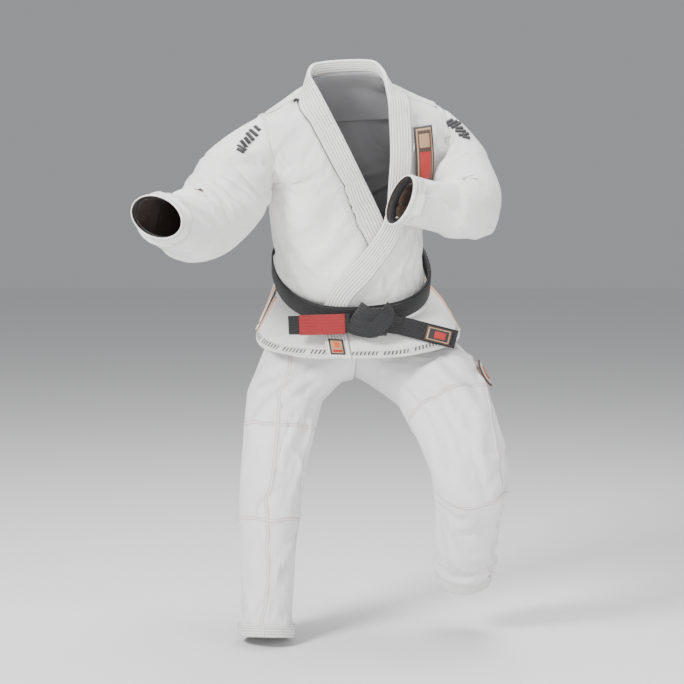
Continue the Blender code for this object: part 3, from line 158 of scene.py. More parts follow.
# Trousers
THIGH = 0.373
SHIN = 0.323
SEAT_WIDTH = 0.412
SEAT_FRONT = 0.118
SEAT_BACK = 0.130
SEAT_HEIGHT = BELT_CENTRE.z - 0.160
SEAT_TILT = math.radians(4)
CROTCH_HEIGHT = BELT_CENTRE.z - 0.234
THIGH_RADIUS = 0.092
KNEE_RADIUS = 0.078
HEM_RADIUS = 0.061
HIP_REACH = 0.172
KNEE_REACH = 0.092
WAISTBAND_WIDTH = 0.040

# Belt
BELT_WIDTH = 0.040
BELT_THICKNESS = 0.0035
KNOT_SIZE = Vector((0.100, 0.034, 0.072))
KNOT_AHEAD = 0.0095
KNOT_TILT = math.radians(4)
KNOT_ASIDE = 0.014
TAIL_LENGTH = 0.125
TAIL_GAP = 0.0054
RED_TAIL_DROOP = math.radians(2)
LABEL_TAIL_DROOP = math.radians(15)
RED_TAIL_DROP = 0.002
LABEL_TAIL_DROP = 0.008
RED_TAIL_SAG = 0.030
LABEL_TAIL_SAG = 0.000

# Fineness of the cloth
LAPEL_STEPS = 70
NECK_STEPS = 40
BODY_SIDES = 96

JACKET_END = 0.006
HIP_BLEND = (0.110, 0.205)
KNEE_BLEND = 0.080
ARMHOLE_BOTTOM = JACKET_RISE * 0.50
ARMHOLE_TOP = JACKET_RISE * 0.83

Section = namedtuple(
    "Section", "height aside ahead tilt half_width front back turn", defaults=(0.0,)
)

TORSO = (
    Matrix.Translation(BELT_CENTRE)
    @ Matrix.Rotation(-SIDE_LEAN, 4, "Y")
    @ Matrix.Rotation(LEAN, 4, "X")
    @ Matrix.Rotation(TURN, 4, "Z")
)
BELT_FRAME = TORSO @ Matrix.Rotation(BELT_DROP, 4, "X")

# The front edge of each lapel, as (height, distance aside) from the hem to the neck
UNDER_LAPEL_EDGE = (
    (-SKIRT_DROP, 0.110),
    (0.0, 0.098),
    (0.144, 0.050),
    (0.300, -0.018),
    (JACKET_RISE, -NECK_WIDTH / 2 + 0.003),
)
OVER_LAPEL_EDGE = (
    (-SKIRT_DROP - 0.02, -0.092),
    (-0.050, -0.090),
    (0.010, -0.068),
    (0.085, 0.004),
    (0.144, 0.048),
    (0.220, 0.063),
    (JACKET_RISE, NECK_WIDTH / 2 - 0.003),
)


# ---------------------------------------------------------------- the body's shape

def mix(a, b, share):
    return a + (b - a) * share


def smooth(share):
    share = min(max(share, 0.0), 1.0)
    return share * share * (3 - 2 * share)


def through(points, x):
    """The y of a smooth curve through (x, y) points, given in rising order of x."""
    if x <= points[0][0]:
        return points[0][1]
    if x >= points[-1][0]:
        return points[-1][1]
    i = max(k for k in range(len(points) - 1) if points[k][0] <= x)
    before = points[max(i - 1, 0)]
    start, end = points[i], points[i + 1]
    after = points[min(i + 2, len(points) - 1)]
    span = end[0] - start[0]
    leave = (end[1] - before[1]) / (end[0] - before[0]) * span
    arrive = (after[1] - start[1]) / (after[0] - start[0]) * span
    t = (x - start[0]) / span
    return (
        (2 * t**3 - 3 * t**2 + 1) * start[1]
        + (t**3 - 2 * t**2 + t) * leave
        + (3 * t**2 - 2 * t**3) * end[1]
        + (t**3 - t**2) * arrive
    )


def body_sections(extra):
    """The jacket's cross-sections, hem to neck. extra moves the front out, for the over panel."""
    belt = Section(0, 0, 0, BELT_DROP, WAIST_WIDTH / 2, WAIST_FRONT + extra, WAIST_BACK)
    slope = math.tan(BELT_DROP)
    below = BELT_WIDTH * 0.65
    above = BELT_WIDTH * 0.55
    shoulder = SHOULDER_WIDTH / 2 + SHOULDER_ROOM
    return (
        Section(-SKIRT_DROP, 0.002, -SKIRT_AHEAD, -HEM_RISE,
                HEM_WIDTH / 2 + extra * 0.8, HEM_FRONT + extra * 1.5, HEM_BACK, -HEM_TURN),
        Section(-SKIRT_DROP * 0.55, 0.001, -SKIRT_AHEAD * 0.4, BELT_DROP * 0.45,
                mix(WAIST_WIDTH, HEM_WIDTH, 0.42) / 2 + extra * 0.8,
                mix(WAIST_FRONT, HEM_FRONT, 0.45) + extra * 1.7, mix(WAIST_BACK, HEM_BACK, 0.74),
                -HEM_TURN * 0.5),
        belt._replace(height=-below, ahead=below * slope, front=WAIST_FRONT + extra * 1.13),
        belt,
        belt._replace(height=above, ahead=-above * slope),
        Section(JACKET_RISE * 0.22, 0, 0, BELT_DROP * 0.4,
                mix(WAIST_WIDTH, CHEST_WIDTH, 0.10) / 2,
                mix(WAIST_FRONT, CHEST_FRONT, 0.5) + extra, WAIST_BACK),
        Section(JACKET_RISE * 0.38, 0.001, 0, 0,
                mix(WAIST_WIDTH, CHEST_WIDTH, 0.45) / 2,
                mix(WAIST_FRONT, CHEST_FRONT, 0.85) + extra * 0.9, WAIST_BACK),
        Section(JACKET_RISE * 0.50, SHOULDER_SHIFT * 0.6, 0, 0,
                CHEST_WIDTH / 2, CHEST_FRONT + extra * 0.4, CHEST_BACK),
        Section(JACKET_RISE * 0.64, SHOULDER_SHIFT, 0, 0,
                shoulder, CHEST_FRONT + extra * 0.1, CHEST_BACK),
        Section(JACKET_RISE * 0.75, SHOULDER_SHIFT, 0, 0,
                shoulder * 0.99, CHEST_FRONT * 0.88, CHEST_BACK * 0.94),
        Section(JACKET_RISE * 0.83, SHOULDER_SHIFT * 0.8, 0, 0,
                shoulder * 0.83, CHEST_FRONT * 0.74, CHEST_BACK * 0.86),
        Section(JACKET_RISE * 0.90, SHOULDER_SHIFT * 0.4, 0, 0,
                mix(NECK_WIDTH, SHOULDER_WIDTH, 0.30) / 2,
                mix(NECK_FRONT, CHEST_FRONT, 0.45), mix(NECK_BACK, CHEST_BACK, 0.50)),
        Section(JACKET_RISE * 0.96, 0, 0, 0,
                NECK_WIDTH * 0.57, NECK_FRONT * 1.14, NECK_BACK * 1.12),
        Section(JACKET_RISE, 0, 0, 0, NECK_WIDTH / 2, NECK_FRONT, NECK_BACK),
    )


def section_at(sections, height):
    """The cross-section of the body at this height of its middle line."""
    values = [
        through([(section.height, section[i]) for section in sections], height)
        for i in range(1, 8)
    ]
    return Section(height, *values)


def body_point(section, angle):
    """A point of the outline in the torso's frame, from angle 0 at the left, by way of the back."""
    cos, sin = math.cos(angle), math.sin(angle)
    power = 2 / BODY_SQUARENESS
    x = section.half_width * math.copysign(abs(cos) ** power, cos)
    depth = section.front if sin < 0 else section.back
    y = depth * math.copysign(abs(sin) ** power, sin)
    middle = Vector((section.aside, section.ahead, section.height))
    tilted = Matrix.Rotation(section.tilt, 3, "X") @ Vector((x, y, 0))
    return middle + Matrix.Rotation(section.turn, 3, "Z") @ tilted


def angle_of(section, x, front=True):
    """The angle at which the outline passes this distance aside."""
    share = (x - section.aside) / section.half_width
    share = min(max(share, -1.0), 1.0)
    cos = math.copysign(abs(share) ** (BODY_SQUARENESS / 2), share)
    return 2 * math.pi - math.acos(cos) if front else math.acos(cos)


def edge_angle(sections, height, edge):
    """The angle at which a lapel's edge crosses the cross-section of this height."""
    section = section_at(sections, height)
    low, high = math.pi, 2 * math.pi
    for _ in range(20):
        angle = (low + high) / 2
        point = body_point(section, angle)
        if point.x < through(edge, point.z):
            low = angle
        else:
            high = angle
    return angle


def body_normal(sections, height, angle):
    step = 0.004
    turn = 0.03
    up = body_point(section_at(sections, height + step), angle) - body_point(
        section_at(sections, height - step), angle
    )
    section = section_at(sections, height)
    round_it = body_point(section, angle + turn) - body_point(section, angle - turn)
    return round_it.cross(up).normalized()


def on_body(sections, height, angle, lift=0.0):
    """A world point on the body's surface, or this far outside it."""
    point = body_point(section_at(sections, height), angle)
    if lift:
        point += body_normal(sections, height, angle) * lift
    return TORSO @ point


def armhole_angle(sections, height, side, front):
    """The angle of the armhole's edge. side is -1 for the wearer's right."""
    section = section_at(sections, height)
    seam = SHOULDER_SHIFT + side * SHOULDER_WIDTH / 2
    reach = (seam - section.aside) * side / section.half_width
    if reach >= 1:
        return None
    return angle_of(section, seam, front)


def side_angle(sections, height, side, front):
    """The angle of a panel's outer edge: side seam, then armhole, then shoulder seam."""
    clear = SEAM_GAP / 2 / section_at(sections, height).half_width
    flat = {(1, True): 2 * math.pi, (1, False): 0, (-1, True): math.pi, (-1, False): math.pi}
    angle = flat[(side, front)]
    cut = armhole_angle(sections, height, side, front)
    if cut is not None and height > 0:
        angle = cut
    inward = -1 if (side, front) in ((1, True), (-1, False)) else 1
    least = clear + 0.02
    return angle + inward * least if abs(angle - flat[(side, front)]) < least else angle


def edge_place(sections, height, edge):
    """(point, normal, (sections, height, angle)) where a lapel's front edge crosses this height."""
    angle = edge_angle(sections, height, edge)
    point = body_point(section_at(sections, height), angle)
    return point, body_normal(sections, height, angle), (sections, height, angle)


def eased(vectors, rounds):
    """The same list of vectors with each one averaged with its neighbours, ends kept."""
    for _ in range(rounds):
        middle = [
            (vectors[i - 1] + vectors[i] * 2 + vectors[i + 1]) / 4
            for i in range(1, len(vectors) - 1)
        ]
        vectors = [vectors[0], *middle, vectors[-1]]
    return vectors


def walk(place, way, distance):
    """(point, normal) after a walk over the body's surface, as near as it can to one direction."""
    sections, height, angle = place
    steps = 4
    for _ in range(steps):
        section = section_at(sections, height)
        here = body_point(section, angle)
        by_angle = (body_point(section, angle + 0.01) - here) / 0.01
        by_height = (body_point(section_at(sections, height + 0.002), angle) - here) / 0.002
        a, b, c = by_angle.dot(by_angle), by_angle.dot(by_height), by_height.dot(by_height)
        d, e = way.dot(by_angle), way.dot(by_height)
        turn, climb = (d * c - e * b) / (a * c - b * b), (e * a - d * b) / (a * c - b * b)
        length = (by_angle * turn + by_height * climb).length
        angle += turn / length * distance / steps
        height += climb / length * distance / steps
    point = body_point(section_at(sections, height), angle)
    return point, body_normal(sections, height, angle)


def lapel_frames(path, level_ends=0.10):
    """Three (point, normal) pairs across the lapel at each place of its path, in the torso's frame.

    They lie square to the path, but level with the belt at the path's two ends. level_ends is
    how far up from the belt they turn, and None keeps all of them level.
    """
    points = eased([point for point, _, _ in path], 1)
    normals = [normal.normalized() for normal in eased([normal for _, normal, _ in path], 3)]
    frames = []
    for i, (point, (_, _, place)) in enumerate(zip(points, path)):
        along = (points[min(i + 1, len(points) - 1)] - points[max(i - 1, 0)]).normalized()
        out = (normals[i] - along * normals[i].dot(along)).normalized()
        over = out.cross(along)
        if place is None:
            marks = [(point + over * (LAPEL_WIDTH * share), out) for share in (0, 0.5, 1)]
            frames.append(marks)
            continue
        sections, height, angle = place
        section = section_at(sections, height)
        level = body_point(section, angle + 0.01) - body_point(section, angle - 0.01)
        level = level.normalized() * math.copysign(1, level.dot(over))
        square = 0.0 if level_ends is None else smooth((height + BELT_WIDTH / 2) / level_ends)
        way = mix(level / level.dot(over), over, square)
        marks = [(point, out)]
        for share in (0.5, 1):
            marks.append(walk(place, way.normalized(), way.length * LAPEL_WIDTH * share))
        frames.append(marks)
    return frames


def sewn_edge(frames):
    """(height, distance aside) along the seam between the front and the lapel, rising."""
    found = []
    for marks in frames:
        step = (marks[2][0] - marks[1][0]).normalized()
        back = marks[2][0] + step * SEAM_GAP * 1.5
        if not found or back.z > found[-1][0] + 0.002:
            found.append((back.z, back.x))
    return tuple(found)


def panel_top(sections, side, sewn_edge):
    """The height at which a front narrows to nothing, between the shoulder seam and the lapel."""
    height = ARMHOLE_TOP
    step = 0.002
    while height < JACKET_RISE:
        outer = side_angle(sections, height + step, side, True)
        inner = edge_angle(sections, height + step, sewn_edge)
        if (inner - outer) * -side < 0.02:
            break
        height += step
    return height


def across(way, side_hint):
    """Two unit vectors square to a limb, the first nearest to side_hint."""
    first = (side_hint - way * side_hint.dot(way)).normalized()
    return first, way.cross(first)


def limb_ring(centre, way, wide, deep, side_hint, count):
    first, second = across(way, side_hint)
    turns = [2 * math.pi * i / count for i in range(count)]
    return [centre + first * wide * math.cos(t) + second * deep * math.sin(t) for t in turns]


def bend(begin, corner, end, t):
    """A place along the curve that rounds a corner."""
    return begin * (1 - t) ** 2 + corner * 2 * t * (1 - t) + end * t**2


def seat_section(height):
    """The seat's cross-section in world space. height is 0 at its lower edge and 1 at its upper."""
    belt = BELT_CENTRE
    hips = (RIGHT_HIP + LEFT_HIP) / 2
    top = Vector((belt.x, belt.y, belt.z)) + waist_normal() * (-WAISTBAND_WIDTH * 0.62)
    middle = Vector((hips.x + 0.006, hips.y - 0.003, SEAT_HEIGHT))
    waist = WAIST_WIDTH / 2 - JACKET_CLOTH - WORN_GAP
    shares = (
        (0.0, SEAT_WIDTH / 2), (0.30, mix(waist, SEAT_WIDTH / 2, 0.58)),
        (0.65, mix(waist, SEAT_WIDTH / 2, 0.20)), (1.0, waist),
    )
    width = through(shares, height)
    front = mix(SEAT_FRONT, WAIST_FRONT - JACKET_CLOTH - WORN_GAP, height)
    back = mix(SEAT_BACK, WAIST_BACK - JACKET_CLOTH - WORN_GAP, height**1.5)
    tilt = mix(SEAT_TILT, LEAN + BELT_DROP, height)
    return mix(middle, top, height), tilt, width, front, back


def seat_ring(height, inset=0.0):
    middle, tilt, width, front, back = seat_section(height)
    turn = Matrix.Rotation(TURN * height, 3, "Z")
    section = Section(0, 0, 0, 0, width - inset, front - inset, back - inset)
    lean = Matrix.Rotation(tilt, 3, "X")
    return [
        middle + turn @ (lean @ body_point(section, 2 * math.pi * i / BODY_SIDES))
        for i in range(BODY_SIDES)
    ]


def waist_normal():
    return (BELT_FRAME.to_3x3() @ Vector((0, 0, 1))).normalized()


def tail_frames(side, steps=6):
    """(middle, across, outward) along a tail, which lies back to the body as it leaves the knot."""
    droop = RED_TAIL_DROOP if side < 0 else LABEL_TAIL_DROOP
    sag = RED_TAIL_SAG if side < 0 else LABEL_TAIL_SAG
    turn = Matrix.Rotation(TURN, 3, "Z")
    way = turn @ Vector((side * math.cos(droop), 0, -math.sin(droop)))
    back = turn @ Vector((0, 1, 0))
    root = tail_root(side)
    frames = []
    for i in range(steps + 1):
        t = i / steps
        middle = root + way * TAIL_LENGTH * t + back * sag * t * t
        along = (way * TAIL_LENGTH + back * 2 * sag * t).normalized()
        out = (-back + along * along.dot(back)).normalized()
        frames.append((middle, out.cross(along), out))
    return frames


def knot_frame():
    """The knot's middle, upright, facing where the chest faces."""
    ahead = -belt_front(1) - KNOT_AHEAD - KNOT_SIZE.y / 2
    middle = BELT_FRAME @ Vector((KNOT_ASIDE, ahead, 0))
    turn = Matrix.Rotation(TURN, 4, "Z") @ Matrix.Rotation(KNOT_TILT, 4, "X")
    return Matrix.Translation(middle) @ turn


def tail_root(side):
    """Where a tail leaves the knot: just past the knot's side."""
    drop = RED_TAIL_DROP if side < 0 else LABEL_TAIL_DROP
    return knot_frame() @ Vector((side * (KNOT_SIZE.x / 2 + TAIL_GAP), 0, -drop))


def belt_out(layer):
    """How far outside the cloth at the sides of the waist this turn's outer face lies."""
    return BELT_CLEAR + layer * (BELT_THICKNESS + WRAP_GAP) + BELT_THICKNESS


def belt_front(layer):
    """How far in front of the belt's middle the outside of this turn lies."""
    lapel_face = WAIST_FRONT + OVERLAP + LAPEL_THICKNESS - JACKET_CLOTH
    return lapel_face + BELT_FRONT_CLEAR + belt_out(layer)


def belt_ring(layer, rise):
    """A ring of the belt in world space. layer is the turn, counted outwards from 0."""
    out = belt_out(layer)
    section = Section(0, 0, 0, 0, WAIST_WIDTH / 2 + out, belt_front(layer), WAIST_BACK + out)
    turns = [2 * math.pi * i / BODY_SIDES for i in range(BODY_SIDES)]
    return [BELT_FRAME @ (body_point(section, t) + Vector((0, 0, rise))) for t in turns]


def lapel_path():
    """The lapel's front edge: up the under side, round the neck and down the over side."""
    heights = panel_heights(JACKET_END, JACKET_RISE * 0.965, LAPEL_STEPS)
    path = [edge_place(UNDER, height, UNDER_LAPEL_EDGE) for height in heights]
    neck = section_at(UNDER, JACKET_RISE)
    for i in range(NECK_STEPS):
        share = (i + 0.5) / NECK_STEPS
        point = body_point(neck, math.pi * (1 - share))
        rise = COLLAR_STAND * smooth(math.sin(math.pi * share) * 1.4)
        outward = Vector((point.x, point.y, 0)).normalized() + Vector((0, 0, 0.35))
        path.append((point + Vector((0, 0, rise)), outward.normalized(), None))
    path += [edge_place(OVER, height, OVER_LAPEL_EDGE) for height in reversed(heights)]
    return path


def vent_angle(sections, height, side, front):
    """The angle of a vent's edge: the front and back skirts part at each side."""
    section = section_at(sections, height)
    half = VENT_GAP / 2 / section.half_width
    if side > 0:
        return 2 * math.pi - half if front else half
    return math.pi + half if front else math.pi - half


def panel_heights(low, high, count):
    return [mix(low, high, i / (count - 1)) for i in range(count)]


UNDER = body_sections(0)
OVER = body_sections(OVERLAP)


# ---------------------------------------------------------------- cloth


def unit(v):
    return v / np.maximum(np.linalg.norm(v, axis=-1, keepdims=True), 1e-9)


class Fabric:
    """Grids of points sewn together where their edges meet."""

    def __init__(self):
        self.points = []
        self.faces = []
        self.grids = {}
        self.cells = {}
        self.surfaces = {}

    def spot(self, point):
        """The number of the point at this place, added if there is none."""
        cell = tuple(int(math.floor(c / 0.002)) for c in point)
        for dx in (-1, 0, 1):
            for dy in (-1, 0, 1):
                for dz in (-1, 0, 1):
                    for i in self.cells.get((cell[0] + dx, cell[1] + dy, cell[2] + dz), ()):
                        if (self.points[i] - point).length < 0.0008:
                            return i
        self.points.append(Vector(point))
        self.cells.setdefault(cell, []).append(len(self.points) - 1)
        return len(self.points) - 1

    def sew(self, name, grid, wrap=False):
        """Adds a grid, given as rows of points."""
        rows = [[self.spot(point) for point in row] for row in grid]
        numbers = np.array(rows)
        count = numbers.shape[1]
        for i in range(len(rows) - 1):
            for j in range(count if wrap else count - 1):
                k = (j + 1) % count
                face = [rows[i][j], rows[i][k], rows[i + 1][k], rows[i + 1][j]]
                face = [n for at, n in enumerate(face) if n not in face[:at]]
                if len(face) > 2:
                    self.faces.append(face)
        self.grids[name] = (numbers, wrap)

    def settle(self):
        self.points = np.array([tuple(point) for point in self.points])
        self.rest = self.points.copy()

    def grid(self, name):
        return self.points[self.grids[name][0]]

    def outward(self, name):
        """Unit normals of a grid's points, facing away from the wearer."""
        places = self.grid(name)
        wrap = self.grids[name][1]
        if wrap:
            beside = np.roll(places, -1, 1) - np.roll(places, 1, 1)
        else:
            beside = np.gradient(places, axis=1)
        along = np.gradient(places, axis=0)
        normal = unit(np.cross(beside, along))
        middle = places.mean(axis=1, keepdims=True) if wrap else self.points.mean(axis=0)
        if (normal * (places - middle)).sum() < 0:
            normal = -normal
        return normal

    def push(self, name, distances):
        """Moves a grid's points outward by the distances given for its rows and columns."""
        moved = self.grid(name) + self.outward(name) * distances[..., None]
        self.points[self.grids[name][0]] = moved
        self.surfaces.clear()

    def place(self, name, across, up):
        """(point, normal) at shares 0 to 1 across a grid's columns and up its rows."""
        numbers, wrap = self.grids[name]
        if name not in self.surfaces:
            self.surfaces[name] = (self.grid(name), self.outward(name))
        places, normals = self.surfaces[name]
        rows, columns = numbers.shape
        u = across * columns if wrap else min(max(across, 0), 1) * (columns - 1)
        v = min(max(up, 0), 1) * (rows - 1)
        j, i = int(math.floor(u)), min(int(math.floor(v)), rows - 2)
        if not wrap:
            j = min(j, columns - 2)
        s, t = u - j, v - i
        j0, j1 = j % columns, (j + 1) % columns

        def blended(values):
            low = values[i][j0] * (1 - s) + values[i][j1] * s
            high = values[i + 1][j0] * (1 - s) + values[i + 1][j1] * s
            return low * (1 - t) + high * t

        return Vector(blended(places)), Vector(blended(normals)).normalized()


def mesh_object(name, points, faces):
    mesh = bpy.data.meshes.new(name)
    mesh.from_pydata([tuple(point) for point in points], [], [tuple(face) for face in faces])
    mesh.update()
    obj = bpy.data.objects.new(name, mesh)
    bpy.context.scene.collection.objects.link(obj)
    return obj


def crumple(fabric, pinned, growth, room, frames=18, inward=0.009, outward=0.012, aside=0.008):
    """Lets a little too much cloth settle round the wearer, who is then taken away.

    pinned gives how firmly a point is held, growth how much too large the cloth is and room how
    far inside it the wearer is. inward, outward and aside limit how far a point may move.
    """
    scene = bpy.context.scene
    cloth_object = mesh_object("settling cloth", fabric.points, fabric.faces)
    bm = bmesh.new()
    bm.from_mesh(cloth_object.data)
    bmesh.ops.recalc_face_normals(bm, faces=bm.faces)
    bm.to_mesh(cloth_object.data)
    bm.free()
    normals = np.array([tuple(v.normal) for v in cloth_object.data.vertices])
    outside = np.zeros(len(fabric.points))
    for name, (numbers, _) in fabric.grids.items():
        agree = (normals[numbers] * fabric.outward(name)).sum()
        outside[numbers] = 1 if agree > 0 else -1
    wearer = mesh_object("wearer", fabric.rest - normals * outside[:, None] * room, fabric.faces)
    wearer.modifiers.new("Collision", "COLLISION")
    wearer.collision.thickness_outer = 0.002
    wearer.collision.cloth_friction = 12
    group = cloth_object.vertex_groups.new(name="held")
    for weight in sorted(set(pinned.values())):
        group.add([i for i, w in pinned.items() if w == weight], weight, "REPLACE")
    cloth = cloth_object.modifiers.new("Cloth", "CLOTH")
    settings = cloth.settings
    settings.quality = 5
    settings.mass = 0.35
    settings.tension_stiffness = 25
    settings.compression_stiffness = 25
    settings.shear_stiffness = 12
    settings.bending_stiffness = 1.5
    settings.air_damping = 2
    settings.shrink_min = -growth
    settings.vertex_group_mass = group.name
    cloth.collision_settings.distance_min = 0.002
    cloth.point_cache.frame_end = frames
    for at in range(1, frames + 1):
        scene.frame_set(at)
    shape = cloth_object.evaluated_get(bpy.context.evaluated_depsgraph_get())
    found = np.array([tuple(v.co) for v in shape.data.vertices])
    outer = normals * outside[:, None]
    moved = found - fabric.rest
    depth = (moved * outer).sum(axis=1, keepdims=True)
    along = moved - outer * depth
    depth = depth - depth.mean() * 0.8
    depth = np.where(
        depth < 0, -inward * np.tanh(-depth / inward), outward * np.tanh(depth / outward)
    )
    slid = np.linalg.norm(along, axis=1, keepdims=True)
    along = along * np.minimum(1, aside / np.maximum(slid, 1e-9))
    loose = np.ones((len(found), 1))
    for n, weight in pinned.items():
        loose[n] = 1 - weight
    fabric.points = fabric.rest + (outer * depth + along) * loose
    fabric.surfaces.clear()
    for obj in (cloth_object, wearer):
        bpy.data.objects.remove(obj, do_unlink=True)
    scene.frame_set(1)


def fold_heights(shape, size, folds, wrap):
    """How far outward each point of a grid starts, for folds given as lines.

    A fold is (across, up) of its two ends as shares, its width and its height in metres.
    size is the grid's real (width, length).
    """
    rows, columns = shape
    across = np.arange(columns) / (columns if wrap else columns - 1)
    up = np.arange(rows) / (rows - 1)
    u, v = np.meshgrid(across, up)
    total = np.zeros(shape)
    for u0, v0, u1, v1, width, height in folds:
        start = np.array([u0 * size[0], v0 * size[1]])
        line = np.array([(u1 - u0) * size[0], (v1 - v0) * size[1]])
        for turn in ((-1, 0, 1) if wrap else (0,)):
            x = (u + turn) * size[0] - start[0]
            y = v * size[1] - start[1]
            t = np.clip((x * line[0] + y * line[1]) / (line @ line), 0, 1)
            gap = np.hypot(x - t * line[0], y - t * line[1])
            fade = np.sin(np.pi * np.clip(t * 0.86 + 0.07, 0, 1)) ** 0.7
            near = gap / (width * (0.6 + 0.7 * t))
            total += height * fade * (np.exp(-(near**2)) - 0.45 * np.exp(-((near - 1.7) ** 2)))
    return total


def apply_modifiers(obj):
    bpy.ops.object.select_all(action="DESELECT")
    obj.select_set(True)
    bpy.context.view_layer.objects.active = obj
    for modifier in list(obj.modifiers):
        bpy.ops.object.modifier_apply(modifier=modifier.name)
    obj.select_set(False)
    return obj


def cut_cloth(name, places, outward, wrap, wall, materials, smoother=1):
    """A piece of cloth through a grid of points: smoothed, with its wall on the wearer's side."""
    rows, columns = places.shape[:2]
    points = places.reshape(-1, 3)
    last = columns if wrap else columns - 1
    faces = []
    for i in range(rows - 1):
        for j in range(last):
            k = (j + 1) % columns
            row, above = i * columns, (i + 1) * columns
            faces.append((row + j, row + k, above + k, above + j))
    obj = mesh_object(name, points, faces)
    mesh = obj.data
    normals = np.array([tuple(polygon.normal) for polygon in mesh.polygons])
    wanted = outward[:-1, : (None if wrap else -1)].reshape(-1, 3)
    if (normals * wanted).sum() < 0:
        mesh.flip_normals()
    width = np.linalg.norm(np.diff(places, axis=1), axis=2).sum(axis=1).mean()
    length = np.linalg.norm(np.diff(places, axis=0), axis=2).sum(axis=0).mean()
    layer = mesh.uv_layers.new(name="UVMap")
    for polygon in mesh.polygons:
        own = [divmod(mesh.loops[i].vertex_index, columns) for i in polygon.loop_indices]
        turned = wrap and max(c for _, c in own) - min(c for _, c in own) > 1
        for loop, (r, c) in zip(polygon.loop_indices, own):
            c = columns if turned and c == 0 else c
            layer.data[loop].uv = (c / last * width, r / (rows - 1) * length)
    for material in materials:
        mesh.materials.append(material)
    if smoother:
        smooth_out = obj.modifiers.new("Smooth", "SUBSURF")
        smooth_out.levels = smoother
        smooth_out.render_levels = smoother
    thick = obj.modifiers.new("Wall", "SOLIDIFY")
    thick.thickness = wall
    thick.offset = -1
    thick.use_even_offset = False
    if len(materials) > 1:
        thick.material_offset = 1
    apply_modifiers(obj)
    for polygon in obj.data.polygons:
        polygon.use_smooth = True
    return obj


def sizes_of(places):
    width = np.linalg.norm(np.diff(places, axis=1), axis=2).sum(axis=1)
    length = np.linalg.norm(np.diff(places, axis=0), axis=2).sum(axis=0)
    return float(width.max()), float(length.max()), float(width.mean() * length.mean())


def declare(obj, places):
    """Works out how large this piece of cloth was cut, but keeps nothing of it; returns the piece
    unchanged.
    """
    width, length, area = sizes_of(places)
    round(max(area, 0.31 * width * length), 4)
    return obj


# ---------------------------------------------------------------- strips and threads


def trail(fabric, name, ends, steps=60, lift=0.0):
    """Points and normals along a smooth line over the cloth, through (across, up) shares."""
    shares = []
    spans = len(ends) - 1
    for k in range(steps + 1):
        at = k / steps * spans
        i = min(int(at), spans - 1)
        before = ends[max(i - 1, 0)]
        after = ends[min(i + 2, spans)]
        a, b, t = ends[i], ends[i + 1], at - i
        point = []
        for axis in (0, 1):
            leave, arrive = (b[axis] - before[axis]) / 2, (after[axis] - a[axis]) / 2
            if i == 0:
                leave = b[axis] - a[axis]
            if i == spans - 1:
                arrive = b[axis] - a[axis]
            point.append(
                (2 * t**3 - 3 * t**2 + 1) * a[axis] + (t**3 - 2 * t**2 + t) * leave
                + (3 * t**2 - 2 * t**3) * b[axis] + (t**3 - t**2) * arrive
            )
        shares.append(point)
    found = [fabric.place(name, across, up) for across, up in shares]
    return [point + normal * lift for point, normal in found], [normal for _, normal in found]


def strip(name, points, normals, width, height, material, sink=0.0006, edge=0.25, closed=False):
    """A flat strip sewn along a line, with softened edges. Its UV runs across it and along it."""
    count = len(points)
    half = width / 2
    soft = min(half * edge, height)
    outline = (
        (-half, -sink), (-half, height - soft), (-half + soft, height),
        (half - soft, height), (half, height - soft), (half, -sink),
    )
    rings = []
    for i, (point, normal) in enumerate(zip(points, normals)):
        ahead = points[(i + 1) % count] if closed else points[min(i + 1, count - 1)]
        behind = points[i - 1] if closed else points[max(i - 1, 0)]
        along = (ahead - behind).normalized()
        over = along.cross(normal).normalized()
        out = over.cross(along)
        rings.append([point + over * a + out * b for a, b in outline])
    return band(name, rings, points, outline, material, closed)


def band(name, rings, line, outline, material, closed=False):
    """A band through rings of one outline. Its UV runs across the outline and along the line."""
    n, count = len(outline), len(rings)
    faces = []
    for i in range(count if closed else count - 1):
        k = (i + 1) % count
        for j in range(n):
            faces.append((i * n + j, k * n + j, k * n + (j + 1) % n, i * n + (j + 1) % n))
    if not closed:
        faces += [tuple(range(n))[::-1], tuple(range((count - 1) * n, count * n))]
    obj = mesh_object(name, [point for ring in rings for point in ring], faces)
    mesh = obj.data
    along = [0.0]
    for a, b in zip(line, line[1:]):
        along.append(along[-1] + (b - a).length)
    round_trip = along[-1] + (line[0] - line[-1]).length
    layer = mesh.uv_layers.new(name="UVMap")
    for polygon in mesh.polygons:
        own = [divmod(mesh.loops[loop].vertex_index, n) for loop in polygon.loop_indices]
        closing = closed and max(at for at, _ in own) == count - 1
        for loop, (at, which) in zip(polygon.loop_indices, own):
            distance = round_trip if closing and at == 0 else along[at]
            layer.data[loop].uv = (outline[which][0], distance)
    face_out(mesh)
    mesh.materials.append(material)
    for polygon in mesh.polygons:
        polygon.use_smooth = True
    return obj


def face_out(mesh):
    bm = bmesh.new()
    bm.from_mesh(mesh)
    bmesh.ops.recalc_face_normals(bm, faces=bm.faces)
    if bm.calc_volume(signed=True) < 0:
        bmesh.ops.reverse_faces(bm, faces=bm.faces)
    bm.to_mesh(mesh)
    bm.free()


def joined(name, pieces):
    """Several pieces as one."""
    bpy.ops.object.select_all(action="DESELECT")
    for obj in pieces:
        obj.select_set(True)
    bpy.context.view_layer.objects.active = pieces[0]
    bpy.ops.object.join()
    pieces[0].name = name
    pieces[0].data.name = name
    pieces[0].select_set(False)
    return pieces[0]


def ribbon(name, frames, outline, material):
    """A band swept along (middle, across, outward) frames, its ends closed."""
    rings = [[middle + over * a + out * b for a, b in outline] for middle, over, out in frames]
    return band(name, rings, [middle for middle, _, _ in frames], outline, material)


# ---------------------------------------------------------------- finishes


